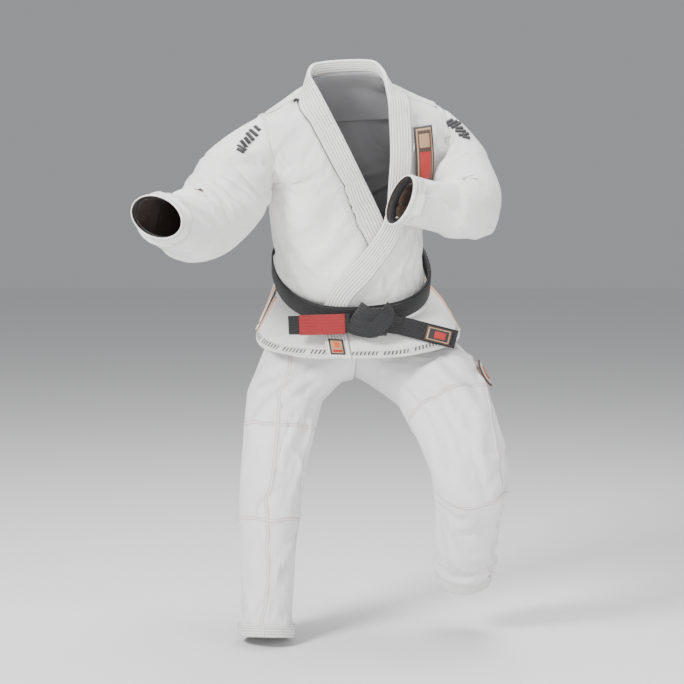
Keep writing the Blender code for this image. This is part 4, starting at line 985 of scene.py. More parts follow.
class Finish:
    """A material, with short ways to add its nodes."""

    def __init__(self, name, colour, roughness, sheen=0.0):
        self.material = bpy.data.materials.new(name)
        self.material.use_nodes = True
        self.tree = self.material.node_tree
        self.shader = self.tree.nodes["Principled BSDF"]
        self.shader.inputs["Base Color"].default_value = (*colour, 1)
        self.shader.inputs["Roughness"].default_value = roughness
        self.shader.inputs["Sheen Weight"].default_value = sheen
        self.shader.inputs["Sheen Roughness"].default_value = 0.4
        self.colour = colour

    def add(self, kind, inputs=(), **settings):
        node = self.tree.nodes.new("ShaderNode" + kind)
        for key, value in settings.items():
            setattr(node, key, value)
        for key, value in dict(inputs).items():
            if isinstance(value, bpy.types.NodeSocket):
                self.tree.links.new(value, node.inputs[key])
            else:
                node.inputs[key].default_value = value
        return node

    def maths(self, operation, *values):
        return self.add("Math", dict(enumerate(values)), operation=operation).outputs[0]

    def uv(self, scale):
        place = self.add("TexCoord").outputs["UV"]
        return self.add("Mapping", {"Vector": place, "Scale": scale}).outputs[0]

    def uv_axes(self):
        parts = self.add("SeparateXYZ", {0: self.add("TexCoord").outputs["UV"]})
        return parts.outputs[0], parts.outputs[1]

    def blotches(self, scale, amount, tint):
        """Lets the colour drift a little from place to place."""
        place = self.add("TexCoord").outputs["Object"]
        noise = self.add("TexNoise", {"Vector": place, "Scale": scale, "Detail": 3.0}).outputs[0]
        share = self.maths("MULTIPLY", noise, amount)
        self.tint(share, tint)

    def tint(self, share, colour):
        """Mixes a colour in by a share."""
        inputs = self.shader.inputs["Base Color"]
        before = inputs.links[0].from_socket if inputs.links else (*self.colour, 1)
        mixer = self.add("Mix", data_type="RGBA")
        for at, value in ((0, share), (6, before), (7, (*colour, 1))):
            if isinstance(value, bpy.types.NodeSocket):
                self.tree.links.new(value, mixer.inputs[at])
            else:
                mixer.inputs[at].default_value = value
        self.tree.links.new(mixer.outputs[2], inputs)

    def bump(self, height, distance, strength=1.0):
        normal = self.shader.inputs["Normal"]
        node = self.add("Bump", {"Height": height, "Distance": distance, "Strength": strength})
        if normal.links:
            self.tree.links.new(normal.links[0].from_socket, node.inputs["Normal"])
        self.tree.links.new(node.outputs[0], normal)

    def stitches(self, pitch, dash, thread, depth=0.0006, line=0.16):
        """Rows of stitches along V, spaced across U."""
        u, v = self.uv_axes()
        place = self.maths("FRACT", self.maths("DIVIDE", u, pitch))
        across = self.maths("ABSOLUTE", self.maths("SUBTRACT", place, 0.5))
        row = self.maths("LESS_THAN", across, line)
        sewn = self.maths("LESS_THAN", self.maths("FRACT", self.maths("DIVIDE", v, dash)), 0.72)
        self.tint(self.maths("MULTIPLY", self.maths("MULTIPLY", row, sewn), 0.75), thread)
        span = {0: across, 1: 0.0, 2: 0.34, 3: 0.0, 4: 1.0}
        groove = self.add("MapRange", span, interpolation_type="SMOOTHSTEP")
        self.bump(groove.outputs[0], depth)


def pearl_weave(name, colour=(0.86, 0.845, 0.83)):
    """Jacket cotton with raised grains of weave."""
    cotton = Finish(name, colour, 0.82, 0.25)
    cotton.blotches(9, 0.35, tuple(c * 0.93 for c in colour))
    threads = cotton.uv((260, 420, 1))
    grain = cotton.add("TexVoronoi", {"Vector": threads, "Scale": 1.0, "Randomness": 0.35})
    cotton.tint(cotton.maths("MULTIPLY", grain.outputs[0], 0.22), tuple(c * 0.70 for c in colour))
    height = cotton.maths("SUBTRACT", 1.0, grain.outputs[0])
    cotton.bump(height, 0.0011)
    place = cotton.add("TexCoord").outputs["Object"]
    crease = cotton.add(
        "TexNoise", {"Vector": place, "Scale": 34.0, "Detail": 4.0, "Distortion": 0.6}
    )
    cotton.bump(crease.outputs[0], 0.0044, 0.8)
    return cotton


def twill(name, colour=(0.86, 0.85, 0.845)):
    """Trouser cotton with fine diagonal ribs."""
    cotton = Finish(name, colour, 0.80, 0.2)
    cotton.blotches(7, 0.35, tuple(c * 0.93 for c in colour))
    threads = cotton.uv((330, 330, 330))
    ribs = cotton.add("TexWave", {"Vector": threads, "Scale": 1.0, "Distortion": 0.4})
    ribs.bands_direction = "DIAGONAL"
    cotton.bump(ribs.outputs[1], 0.0004)
    place = cotton.add("TexCoord").outputs["Object"]
    crease = cotton.add(
        "TexNoise", {"Vector": place, "Scale": 26.0, "Detail": 4.0, "Distortion": 0.5}
    )
    cotton.bump(crease.outputs[0], 0.0050, 0.8)
    return cotton


def plain_cotton(name, colour, roughness=0.8, scale=900, depth=0.0004):
    cloth = Finish(name, colour, roughness, 0.15)
    cloth.blotches(30, 0.4, tuple(c * 0.85 for c in colour))
    checks = cloth.add("TexChecker", {"Vector": cloth.uv((1, 1, 1)), "Scale": float(scale)})
    cloth.bump(checks.outputs[1], depth, 0.6)
    return cloth


WHITE = (0.86, 0.845, 0.83)
THREAD = (0.50, 0.48, 0.47)
JACKET_COTTON = pearl_weave("pearl_weave_cotton").material
TROUSER_COTTON = twill("trouser_twill").material
# Dark grey for the inside of the back and for the yoke lining: painted shade on white cloth that
# lies in shade there.
BACK_INSIDE_PAINTED_SHADE = plain_cotton("back_inside_painted_shade", (0.30, 0.30, 0.31)).material
# Grey for the inner walls of the fronts, sleeve heads, skirts and trousers: painted shade on white
# cloth.
INNER_WALL_PAINTED_SHADE = plain_cotton("inner_wall_painted_shade", (0.62, 0.60, 0.59)).material

lapel_finish = plain_cotton("quilted_lapel", WHITE)
lapel_finish.stitches(0.0062, 0.0042, THREAD, 0.0009)
LAPEL_COTTON = lapel_finish.material

seam_finish = plain_cotton("felled_seam", (0.84, 0.82, 0.81))
seam_finish.stitches(0.0055, 0.0036, (0.46, 0.27, 0.25), 0.0007, 0.17)
SEAM_COTTON = seam_finish.material

white_seam = plain_cotton("white_seam", (0.85, 0.835, 0.82))
white_seam.stitches(0.0045, 0.0036, (0.50, 0.47, 0.46), 0.0006, 0.15)
JACKET_SEAM = white_seam.material

belt_finish = plain_cotton("belt_cotton", (0.006, 0.006, 0.007), 0.7)
belt_finish.stitches(0.0048, 0.0034, (0.022, 0.022, 0.025), 0.0010, 0.14)
BELT_COTTON = belt_finish.material

red_finish = plain_cotton("red_satin", (0.27, 0.003, 0.006), 0.5)
red_finish.stitches(0.0066, 0.0030, (0.16, 0.0, 0.0), 0.0005, 0.08)
RED_SATIN = red_finish.material

peach_finish = plain_cotton("peach_tape", (0.83, 0.50, 0.34))
peach_finish.stitches(0.0100, 0.0040, (0.72, 0.42, 0.28), 0.0004, 0.06)
PEACH_TAPE = peach_finish.material

BLACK_WEAVE = plain_cotton("black_weave", (0.018, 0.017, 0.018), 0.6).material
BROWN_WEAVE = plain_cotton("brown_weave", (0.065, 0.035, 0.022), 0.6).material
TAN_WEAVE = plain_cotton("tan_weave", (0.46, 0.27, 0.15), 0.6).material
LIGHT_WEAVE = plain_cotton("light_weave", (0.66, 0.60, 0.52), 0.6).material
RED_WEAVE = plain_cotton("red_weave", (0.42, 0.012, 0.010), 0.55).material
ORANGE_WEAVE = plain_cotton("orange_weave", (0.72, 0.11, 0.02), 0.55).material
INK = plain_cotton("black_print", (0.025, 0.025, 0.027), 0.7).material
# Dark brown for the inside of the lower sleeves: painted shade on white cloth.
SLEEVE_INSIDE_PAINTED_SHADE = plain_cotton("sleeve_inside_painted_shade", (0.070, 0.040, 0.028)).material


def printed_tape():
    """White tape with a row of slanted dark bars along it."""
    tape = plain_cotton("printed_tape", (0.74, 0.73, 0.72))
    u, v = tape.uv_axes()
    slant = tape.maths("ADD", tape.maths("MULTIPLY", u, 0.45), v)
    bar = tape.maths("LESS_THAN", tape.maths("FRACT", tape.maths("DIVIDE", slant, 0.0085)), 0.52)
    pause = tape.maths("LESS_THAN", tape.maths("FRACT", tape.maths("DIVIDE", slant, 0.068)), 0.80)
    inside = tape.maths("LESS_THAN", tape.maths("ABSOLUTE", u), 0.0048)
    share = tape.maths("MULTIPLY", tape.maths("MULTIPLY", bar, pause), inside)
    tape.tint(tape.maths("MULTIPLY", share, 0.9), (0.03, 0.03, 0.03))
    return tape.material


PRINTED_TAPE = printed_tape()


# ---------------------------------------------------------------- jacket: its cloth


LOW_ROWS, ARM_ROWS, TOP_ROWS = 26, 22, 5
BACK_COLUMNS, FRONT_COLUMNS = 56, 30
JACKET_START = -0.006

lapel_marks = lapel_frames(lapel_path())
under_marks = lapel_marks[:LAPEL_STEPS]
over_marks = lapel_marks[-LAPEL_STEPS:][::-1]
UNDER_SEWN = sewn_edge(under_marks)
OVER_SEWN = sewn_edge(over_marks)
SHOULDER_TOP = panel_top(UNDER, -1, UNDER_SEWN)


def seam_angle(sections, height, side, front):
    """The outer edge of a front or back, where it meets its neighbour or the armhole."""
    flat = 2 * math.pi if side > 0 and front else 0.0 if side > 0 else math.pi
    cut = armhole_angle(sections, height, side, front)
    return flat if cut is None or not ARMHOLE_BOTTOM <= height <= ARMHOLE_TOP else cut


def torso_rows(top):
    return (
        panel_heights(JACKET_START, ARMHOLE_BOTTOM, LOW_ROWS)
        + panel_heights(ARMHOLE_BOTTOM, ARMHOLE_TOP, ARM_ROWS)[1:]
        + panel_heights(ARMHOLE_TOP, top, TOP_ROWS)[1:]
    )


def front_grid(sections, side, sewn):
    grid = []
    for height in torso_rows(SHOULDER_TOP):
        outer = seam_angle(sections, height, side, True)
        inner = edge_angle(sections, height, sewn)
        shares = [j / (FRONT_COLUMNS - 1) for j in range(FRONT_COLUMNS)]
        grid.append([on_body(sections, height, mix(outer, inner, share)) for share in shares])
    return grid


def back_grid():
    grid = []
    level = torso_rows(SHOULDER_TOP)
    for row in range(len(level) + 4):
        points = []
        for j in range(BACK_COLUMNS):
            share = j / (BACK_COLUMNS - 1)
            height = level[min(row, len(level) - 1)]
            if row >= len(level):
                round_neck = math.sin(math.pi * share) ** 0.8
                collar_foot = JACKET_RISE + COLLAR_STAND - LAPEL_WIDTH + 0.008
                top = mix(SHOULDER_TOP + 0.006, collar_foot, round_neck)
                height = mix(height, top, (row - len(level) + 1) / 4)
            left = seam_angle(UNDER, height, 1, False)
            right = seam_angle(UNDER, height, -1, False)
            points.append(on_body(UNDER, height, mix(left, right, share)))
        grid.append(points)
    return grid


def armhole(fabric, side):
    """The armhole's points as they lie, up the front and down the back."""
    rows = slice(LOW_ROWS - 1, LOW_ROWS + ARM_ROWS - 1)
    front = fabric.grids["right_front" if side < 0 else "left_front"][0][rows, 0]
    back = fabric.grids["back"][0][rows, -1 if side < 0 else 0]
    order = list(front) + list(back[::-1])
    ring = [n for at, n in enumerate(order) if n not in order[:at]]
    return [fabric.points[n] for n in ring]


SLEEVE_ROWS = {"head": 16, "upper": 8, "elbow": 18, "forearm": 14}


def sleeve_rings(side, hole):
    shoulder, arm, forearm = (
        (RIGHT_SHOULDER, RIGHT_ARM_WAY, RIGHT_FOREARM_WAY)
        if side < 0 else (LEFT_SHOULDER, LEFT_ARM_WAY, LEFT_FOREARM_WAY)
    )
    elbow = shoulder + arm * UPPER_SLEEVE
    hinge = arm.cross(forearm).normalized()

    def ring(centre, way, wide, deep):
        return limb_ring(centre, way, wide, deep, hinge, len(hole))

    def arm_ring(distance):
        radius = mix(SLEEVE_TOP_RADIUS, SLEEVE_ELBOW_RADIUS, distance / UPPER_SLEEVE)
        return ring(shoulder + arm * distance, arm, radius, radius * 0.95)

    def forearm_ring(distance):
        share = distance / FOREARM_SLEEVE
        long = mix(SLEEVE_ELBOW_RADIUS, CUFF_RADIUS, share)
        short = mix(SLEEVE_ELBOW_RADIUS * 0.95, CUFF_RADIUS * CUFF_FLATNESS, share)
        return ring(elbow + forearm * distance, forearm, long, short)

    top = arm_ring(HEAD_LENGTH)
    turned = pairing(top, hole)
    rings = []
    for i in range(SLEEVE_ROWS["head"]):
        t = i / SLEEVE_ROWS["head"]
        rings.append([mix(a, b, t) for a, b in zip(hole, turned(top))])
    rings += [
        turned(arm_ring(mix(HEAD_LENGTH, UPPER_SLEEVE - ELBOW_REACH, i / SLEEVE_ROWS["upper"])))
        for i in range(SLEEVE_ROWS["upper"])
    ]
    begin, end = elbow - arm * ELBOW_REACH, elbow + forearm * ELBOW_REACH
    for i in range(SLEEVE_ROWS["elbow"]):
        t = i / SLEEVE_ROWS["elbow"]
        way = mix(arm, forearm, t).normalized()
        deep = mix(SLEEVE_ELBOW_RADIUS * 0.95, SLEEVE_ELBOW_RADIUS * 0.90, t)
        rings.append(turned(ring(bend(begin, elbow, end, t), way, SLEEVE_ELBOW_RADIUS, deep)))
    rings += [
        turned(forearm_ring(mix(ELBOW_REACH, FOREARM_SLEEVE, i / (SLEEVE_ROWS["forearm"] - 1))))
        for i in range(SLEEVE_ROWS["forearm"])
    ]
    return [full_shoulder(side, i, ring) for i, ring in enumerate(rings)]


def full_shoulder(side, row, ring):
    """A sleeve's ring with its upper side raised, as the cloth stands over the shoulder."""
    rises = ((0, 0), (5, 0.010), (12, 0.021), (22, 0.024), (32, 0.012), (42, 0))
    if side > 0:
        rises = ((0, 0), (4, 0.010), (10, 0.014), (18, 0.006), (26, 0))
    rise = through(rises, row)
    middle = sum(ring, Vector()) / len(ring)
    return [
        point + Vector((side * 0.45, 0, 1)) * rise * smooth(0.35 + (point.z - middle.z) / 0.09)
        for point in ring
    ]


def pairing(ring, target):
    """A function that turns a ring's points so that they pair with the target's."""
    a, b = np.array([tuple(p) for p in ring]), np.array([tuple(p) for p in target])
    a, b = a - a.mean(axis=0), b - b.mean(axis=0)
    found = []
    for order in (1, -1):
        for start in range(len(ring)):
            gap = ((np.roll(a[::order], -start, axis=0) - b) ** 2).sum()
            found.append((gap, start, order))
    _, start, order = min(found)

    def turned(points):
        points = points[::order]
        return points[start:] + points[:start]

    return turned


jacket = Fabric()
jacket.sew("right_front", front_grid(UNDER, -1, UNDER_SEWN))
jacket.sew("left_front", front_grid(OVER, 1, OVER_SEWN))
jacket.sew("back", back_grid())
for side, word in ((-1, "right"), (1, "left")):
    hole = armhole(jacket, side)
    jacket.sew(word + "_sleeve", [hole, *sleeve_rings(side, hole)[1:]], wrap=True)
jacket.settle()


def facing(fabric, name, up, way):
    """The share round a limb at which its cloth lies furthest this way."""
    shares = [i / 60 for i in range(60)]
    return max(shares, key=lambda share: fabric.place(name, share, up)[0].dot(Vector(way)))


def sleeve_folds(side):
    """Folds at the armpit, the inside of the elbow and along the forearm."""
    name = "right_sleeve" if side < 0 else "left_sleeve"
    arm, forearm = (
        (RIGHT_ARM_WAY, RIGHT_FOREARM_WAY) if side < 0 else (LEFT_ARM_WAY, LEFT_FOREARM_WAY)
    )
    inside = facing(jacket, name, 0.58, forearm - arm)
    outside = inside + 0.5
    front = facing(jacket, name, 0.3, (0, -1, 0))
    under = facing(jacket, name, 0.12, (-side * 0.8, -0.2, -0.6))
    return [
        (inside - 0.23, 0.50, inside + 0.20, 0.56, 0.010, 0.009),
        (inside - 0.18, 0.60, inside + 0.24, 0.63, 0.009, 0.008),
        (inside - 0.26, 0.42, inside + 0.10, 0.49, 0.011, 0.007),
        (inside - 0.12, 0.67, inside + 0.22, 0.76, 0.010, 0.006),
        (inside - 0.20, 0.70, inside - 0.05, 0.90, 0.010, 0.005),
        (front, 0.04, front + 0.10, 0.36, 0.013, 0.007),
        (front + 0.16, 0.05, front + 0.06, 0.30, 0.012, 0.006),
        (front - 0.12, 0.04, front - 0.02, 0.28, 0.012, 0.006),
        (under - 0.10, 0.03, under + 0.02, 0.30, 0.011, 0.008),
        (under + 0.08, 0.02, under + 0.16, 0.26, 0.011, 0.007),
        (outside - 0.10, 0.30, outside + 0.02, 0.48, 0.013, 0.006),
        (outside + 0.05, 0.52, outside - 0.06, 0.78, 0.013, 0.006),
        (outside + 0.16, 0.62, outside + 0.10, 0.86, 0.011, 0.005),
    ]


TORSO_FOLDS = {
    "right_front": [
        (0.05, 0.46, 0.72, 0.10, 0.016, 0.010), (0.02, 0.36, 0.55, 0.03, 0.015, 0.009),
        (0.10, 0.58, 0.85, 0.30, 0.016, 0.008), (0.12, 0.72, 0.70, 0.48, 0.015, 0.006),
        (0.45, 0.14, 0.95, 0.02, 0.013, 0.007), (0.02, 0.22, 0.30, 0.01, 0.013, 0.008),
    ],
    "left_front": [
        (0.08, 0.50, 0.60, 0.12, 0.016, 0.010), (0.03, 0.38, 0.50, 0.04, 0.015, 0.009),
        (0.15, 0.60, 0.80, 0.24, 0.016, 0.008), (0.55, 0.30, 0.85, 0.05, 0.013, 0.007),
        (0.03, 0.24, 0.22, 0.02, 0.013, 0.008), (0.30, 0.80, 0.75, 0.60, 0.016, 0.005),
    ],
    "back": [
        (0.10, 0.50, 0.42, 0.16, 0.018, 0.010), (0.90, 0.50, 0.60, 0.18, 0.018, 0.010),
        (0.06, 0.34, 0.34, 0.06, 0.016, 0.009), (0.94, 0.34, 0.64, 0.05, 0.016, 0.009),
        (0.40, 0.36, 0.60, 0.30, 0.018, 0.007), (0.44, 0.20, 0.52, 0.02, 0.014, 0.008),
        (0.22, 0.72, 0.38, 0.44, 0.018, 0.006), (0.80, 0.74, 0.64, 0.46, 0.018, 0.006),
        (0.25, 0.16, 0.30, 0.01, 0.013, 0.008), (0.76, 0.15, 0.72, 0.01, 0.013, 0.008),
    ],
}


def hold_edges(shape, bottom, top, left=False, right=False, soft=3):
    """1 in a grid's middle, falling to 0 at the edges that are sewn down."""
    rows, columns = shape
    i = np.arange(rows)[:, None] * np.ones((1, columns))
    j = np.ones((rows, 1)) * np.arange(columns)
    share = np.ones(shape)
    if bottom:
        share *= np.clip(i / soft, 0, 1)
    if top:
        share *= np.clip((rows - 1 - i) / soft, 0, 1)
    if left:
        share *= np.clip(j / soft, 0, 1)
    if right:
        share *= np.clip((columns - 1 - j) / soft, 0, 1)
    return share


for name in ("right_front", "left_front", "back"):
    shape = jacket.grids[name][0].shape
    width, length, _ = sizes_of(jacket.grid(name))
    folds = fold_heights(shape, (width, length), TORSO_FOLDS[name], False)
    jacket.push(name, folds * hold_edges(shape, True, True, True, True))
for name, side in (("right_sleeve", -1), ("left_sleeve", 1)):
    shape = jacket.grids[name][0].shape
    width, length, _ = sizes_of(jacket.grid(name))
    folds = fold_heights(shape, (width, length), sleeve_folds(side), True)
    jacket.push(name, folds * hold_edges(shape, True, True))

held = {}
for name in ("right_front", "left_front", "back"):
    numbers = jacket.grids[name][0]
    for n in numbers[:2].ravel():
        held[int(n)] = 1.0
    for n in numbers[-2:].ravel() if name == "back" else numbers[:, -1]:
        held[int(n)] = 1.0
for name in ("right_sleeve", "left_sleeve"):
    for n in jacket.grids[name][0][-3:].ravel():
        held[int(n)] = 1.0
    for n in jacket.grids[name][0][0]:
        held.setdefault(int(n), 0.35)
crumple(jacket, held, growth=0.055, room=0.013)


# ---------------------------------------------------------------- jacket: its pieces


def rides(obj, body):
    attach(obj, body)
    return obj


# Each panel's inner wall is painted shade: grey on the fronts, dark grey on the back.
for name, piece, cad, inside in (
    ("right_front", "right_front_panel", "jacket_right_front", INNER_WALL_PAINTED_SHADE),
    ("left_front", "left_front_panel", "jacket_left_front", INNER_WALL_PAINTED_SHADE),
    ("back", "back_panel", "jacket_back", BACK_INSIDE_PAINTED_SHADE),
):
    panel = cut_cloth(piece, jacket.grid(name), jacket.outward(name), False,
                      JACKET_WALL, [JACKET_COTTON, inside])
    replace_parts(panel, cad)
    rides(panel, "uniform")
    declare(panel, jacket.grid(name))

# The yoke lining inside the back, coloured dark grey as painted shade.
lining_heights = panel_heights(JACKET_RISE * 0.70, JACKET_RISE * 0.985, 14)
lining_grid = np.array([
    [
        tuple(on_body(UNDER, height, mix(0.10, 0.90, j / 30) * math.pi, -JACKET_CLOTH - 0.0075))
        for j in range(31)
    ]
    for height in lining_heights
])
lining_out = np.zeros_like(lining_grid) + np.array(TORSO.to_3x3() @ Vector((0, 1, 0)))
lining = cut_cloth("yoke_lining_cloth", lining_grid, lining_out, False, 0.0012, [BACK_INSIDE_PAINTED_SHADE])
rides(lining, "uniform")
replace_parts(lining, "yoke_lining")
declare(lining, lining_grid)

HEAD_SPLIT = SLEEVE_ROWS["head"] + 3
for side, word, shoulder, arm, forearm in (
    (-1, "right", RIGHT_SHOULDER, RIGHT_ARM_WAY, RIGHT_FOREARM_WAY),
    (1, "left", LEFT_SHOULDER, LEFT_ARM_WAY, LEFT_FOREARM_WAY),
):
    name = word + "_sleeve"
    places, normals = jacket.grid(name), jacket.outward(name)
    # The sleeve head's inner wall is grey painted shade.
    head = cut_cloth(word + "_sleeve_top", places[: HEAD_SPLIT + 1], normals[: HEAD_SPLIT + 1],
                     True, JACKET_WALL, [JACKET_COTTON, INNER_WALL_PAINTED_SHADE])
    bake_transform(head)
    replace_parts(head, word + "_sleeve_head")
    declare(head, places[: HEAD_SPLIT + 1])
    # The lower sleeve's inner wall is dark brown painted shade.
    lower = cut_cloth(word + "_sleeve_lower", places[HEAD_SPLIT:], normals[HEAD_SPLIT:], True,
                      JACKET_WALL, [JACKET_COTTON, SLEEVE_INSIDE_PAINTED_SHADE])
    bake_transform(lower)
    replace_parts(lower, word + "_upper_sleeve", word + "_elbow", word + "_forearm_sleeve",
                word + "_cuff_band")
    declare(lower, places[HEAD_SPLIT:])

    hole = armhole(jacket, side)
    points, outs = [], []
    for i in range(len(hole)):
        place, normal = jacket.place(name, i / len(hole), 0.004)
        points.append(place)
        outs.append(normal)
    seam = strip(word + "_armhole_seam", points, outs, 0.010, 0.0016, JACKET_SEAM, closed=True)
    rides(seam, "uniform")
    for at, what, wide in (
        (1 - 0.012, "cuff_edge", 0.006), (1 - CUFF_BAND / SLEEVE_LENGTH, "cuff_seam", 0.008),
    ):
        ring = [jacket.place(name, i / 72, at) for i in range(72)]
        hem = strip(f"{word}_{what}", [p for p, _ in ring], [n for _, n in ring],
                    wide, 0.0014, JACKET_SEAM, closed=True)
        rides(hem, word + "_forearm_sleeve")
    ring = [jacket.place(name, i / 72, 1 - 0.030) for i in range(72)]
    tape = strip(word + "_cuff_inner_tape", [p - n * 0.0042 for p, n in ring],
                 [-n for _, n in ring], 0.016, 0.0012, BLACK_WEAVE, closed=True)
    rides(tape, word + "_forearm_sleeve")
    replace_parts(tape, word + "_cuff_tape")


back_rows = jacket.grid("back").shape[0] - 1
for edge, word in ((1.0, "right"), (0.0, "left")):
    line = [(edge, (LOW_ROWS + ARM_ROWS - 2) / back_rows), (edge, 1.0)]
    points, outs = trail(jacket, "back", line, 30)
    points.append(points[-1] + (points[-1] - points[-2]).normalized() * 0.006)
    outs.append(outs[-1])
    rides(strip(word + "_shoulder_seam", points, outs, 0.013, 0.0018, JACKET_SEAM), "uniform")


def across_lapel(three, distance, height):
    """A world point this far across the lapel and out from it, through one place's three marks."""
    first, middle, last = three
    s = distance / LAPEL_WIDTH
    near, far, mid = (1 - s) * (1 - 2 * s), s * (2 * s - 1), 4 * s * (1 - s)
    point = first[0] * near + middle[0] * mid + last[0] * far
    normal = first[1] * near + middle[1] * mid + last[1] * far
    return TORSO @ (point + normal.normalized() * height)


def lapel_skin(name, marks, outline, material):
    """The lapel's cloth round an outline given as (distance across, height)."""
    rings = [[across_lapel(three, a, b) for a, b in outline] for three in marks]
    return band(name, rings, [ring[0] for ring in rings], outline, material)


def quilted_outline(low, high, rows=6, pitch=0.0062):
    """A band's outline with a shallow groove at each row of stitches, on its outer half."""
    top = []
    steps = 56
    for k in range(steps + 1):
        a = LAPEL_WIDTH * k / steps
        edge = min(a, LAPEL_WIDTH - a)
        round_off = 0.0022 * (1 - min(edge / 0.003, 1)) ** 2
        groove = 0.0010 * (0.5 + 0.5 * math.cos(2 * math.pi * (a / pitch - 0.5))) ** 3
        top.append((a, high - round_off - (groove if a < rows * pitch else 0)))
    return ((0, low), *top, (LAPEL_WIDTH, low))


LAPEL_OUTLINE = quilted_outline(-JACKET_CLOTH, LAPEL_THICKNESS - JACKET_CLOTH + 0.0008)
lapel = lapel_skin("quilted_lapel_band", lapel_marks, LAPEL_OUTLINE, LAPEL_COTTON)
rides(lapel, "uniform")
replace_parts(lapel, "lapel", "lapel_core")


def woven_layer(name, place_at, rows, columns, thickness, material, body):
    """A flat woven layer through the places that place_at gives for shares up and across."""
    grid = np.array([
        [tuple(place_at(i / rows, j / columns)) for j in range(columns + 1)]
        for i in range(rows + 1)
    ])
    out = np.zeros_like(grid) + np.array(TORSO.to_3x3() @ Vector((0, -1, 0)))
    return rides(cut_cloth(name, grid, out, False, thickness, [material], smoother=0), body)


def chest_layer(name, heights, sides, lift, thickness, material):
    """A layer of the chest patch, between two heights and two distances aside."""
    def place_at(up, over):
        height = mix(*heights, up)
        angle = angle_of(section_at(OVER, height), mix(*sides, over))
        return on_body(OVER, height, angle, lift)

    return woven_layer(name, place_at, 14, 8, thickness, material, "uniform")


PATCH_LIFT = 0.0105
patch = chest_layer("chest_patch_frame", (0.212, 0.332), (0.120, 0.160), PATCH_LIFT, 0.0045,
                    BLACK_WEAVE)
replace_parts(patch, "chest_patch")
for what, heights, sides, lift, weave in (
    ("border", (0.216, 0.328), (0.1235, 0.1565), 0.0008, TAN_WEAVE),
    ("ground", (0.219, 0.325), (0.126, 0.154), 0.0014, BROWN_WEAVE),
    ("panel", (0.228, 0.284), (0.129, 0.151), 0.0020, RED_WEAVE),
    ("bar", (0.292, 0.318), (0.129, 0.151), 0.0020, TAN_WEAVE),
):
    chest_layer("chest_patch_" + what, heights, sides, PATCH_LIFT + lift, 0.001, weave)


def slanted_bars(fabric, name, word, start, end, count, tall, wide, slant=0.35):
    """A printed row of slanted bars on the cloth, as a thin layer of ink."""
    pieces = []
    points, normals = trail(fabric, name, [start, end], steps=count * 6, lift=0.0018)
    for k in range(count):
        middle, normal = points[k * 6 + 3], normals[k * 6 + 3]
        along = (points[k * 6 + 4] - points[k * 6 + 2]).normalized()
        up = normal.cross(along).normalized()
        line = (up + along * slant).normalized() * (tall if k % 3 else tall * 0.72)
        ends = [middle - line / 2 + line * t for t in (0, 0.25, 0.5, 0.75, 1)]
        pieces.append(strip(f"{word}_bar", ends, [normal] * 5, wide, 0.0004, INK, sink=0.0030))
    return joined(word, pieces)


for side, word, shoulder, arm in (
    (-1, "right", RIGHT_SHOULDER, RIGHT_ARM_WAY), (1, "left", LEFT_SHOULDER, LEFT_ARM_WAY),
):
    name = word + "_sleeve"
    way = Vector((side * 0.15, -0.75, 0.66))
    near, far = facing(jacket, name, 0.06, way), facing(jacket, name, 0.20, way)
    print_bars = slanted_bars(jacket, name, word + "_sleeve_print", (near, 0.035), (far, 0.235),
                              7, 0.024, 0.0075)
    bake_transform(print_bars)


# ---------------------------------------------------------------- skirt


def skirt_rows(drop):
    return panel_heights(-SKIRT_DROP - drop, -0.004, 26)


def skirt_marks(sections, edge, drop):
    path = [edge_place(sections, height, edge) for height in skirt_rows(drop)]
    if edge is OVER_LAPEL_EDGE:
        path.reverse()
        return lapel_frames(path, None)[::-1]
    return lapel_frames(path, None)


under_end_marks = skirt_marks(UNDER, UNDER_LAPEL_EDGE, UNDER_FLAP_DROP)
over_end_marks = skirt_marks(OVER, OVER_LAPEL_EDGE, 0.0)
under_end_sewn = sewn_edge(under_end_marks)
over_end_sewn = sewn_edge(over_end_marks)


def skirt_fabric(name, sections, spans, drop, columns, waves, slide=0.0):
    """One skirt, hanging in soft waves that grow towards its hem."""
    grid = []
    for height in skirt_rows(drop):
        near, far = spans(height)
        row = []
        for j in range(columns):
            share = j / (columns - 1)
            angle = mix(near, far, share)
            fall = max(0.0, min(1.0, (-0.012 - height) / SKIRT_DROP))
            wave = sum(
                size * math.sin(2 * math.pi * (share * turns + phase))
                for turns, phase, size in waves
            )
            row.append(on_body(sections, height, angle, slide + wave * fall**1.3))
        grid.append(row)
    fabric = Fabric()
    fabric.sew(name, grid)
    fabric.settle()
    return fabric


def right_flap(height):
    return vent_angle(UNDER, height, -1, True), edge_angle(UNDER, height, under_end_sewn)


def left_flap(height):
    return edge_angle(OVER, height, over_end_sewn), vent_angle(OVER, height, 1, True)


def back_flap(height):
    return vent_angle(UNDER, height, 1, False), vent_angle(UNDER, height, -1, False)


SKIRTS = {
    "right_flap": skirt_fabric("right_flap", UNDER, right_flap, UNDER_FLAP_DROP * 0.9, 40,
                               ((1.6, 0.1, 0.003), (3.1, 0.4, 0.0012))),
    "left_flap": skirt_fabric("left_flap", OVER, left_flap, 0.0, 48,
                              ((1.3, 0.55, 0.0035), (2.7, 0.2, 0.0015))),
    "back_flap": skirt_fabric("back_flap", UNDER, back_flap, 0.0, 64,
                              ((2.2, 0.0, 0.0060), (3.7, 0.3, 0.0030))),
}
fold_front = on_body(OVER, -FOLD_DROP, 1.5 * math.pi)


def hang_skirt(obj, which):
    if which == "back_flap":
        top = on_body(UNDER, -0.0455, 0.5 * math.pi)
        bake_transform(obj)
    elif which == "right_flap":
        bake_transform(obj)
    else:
        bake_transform(obj)
    return obj


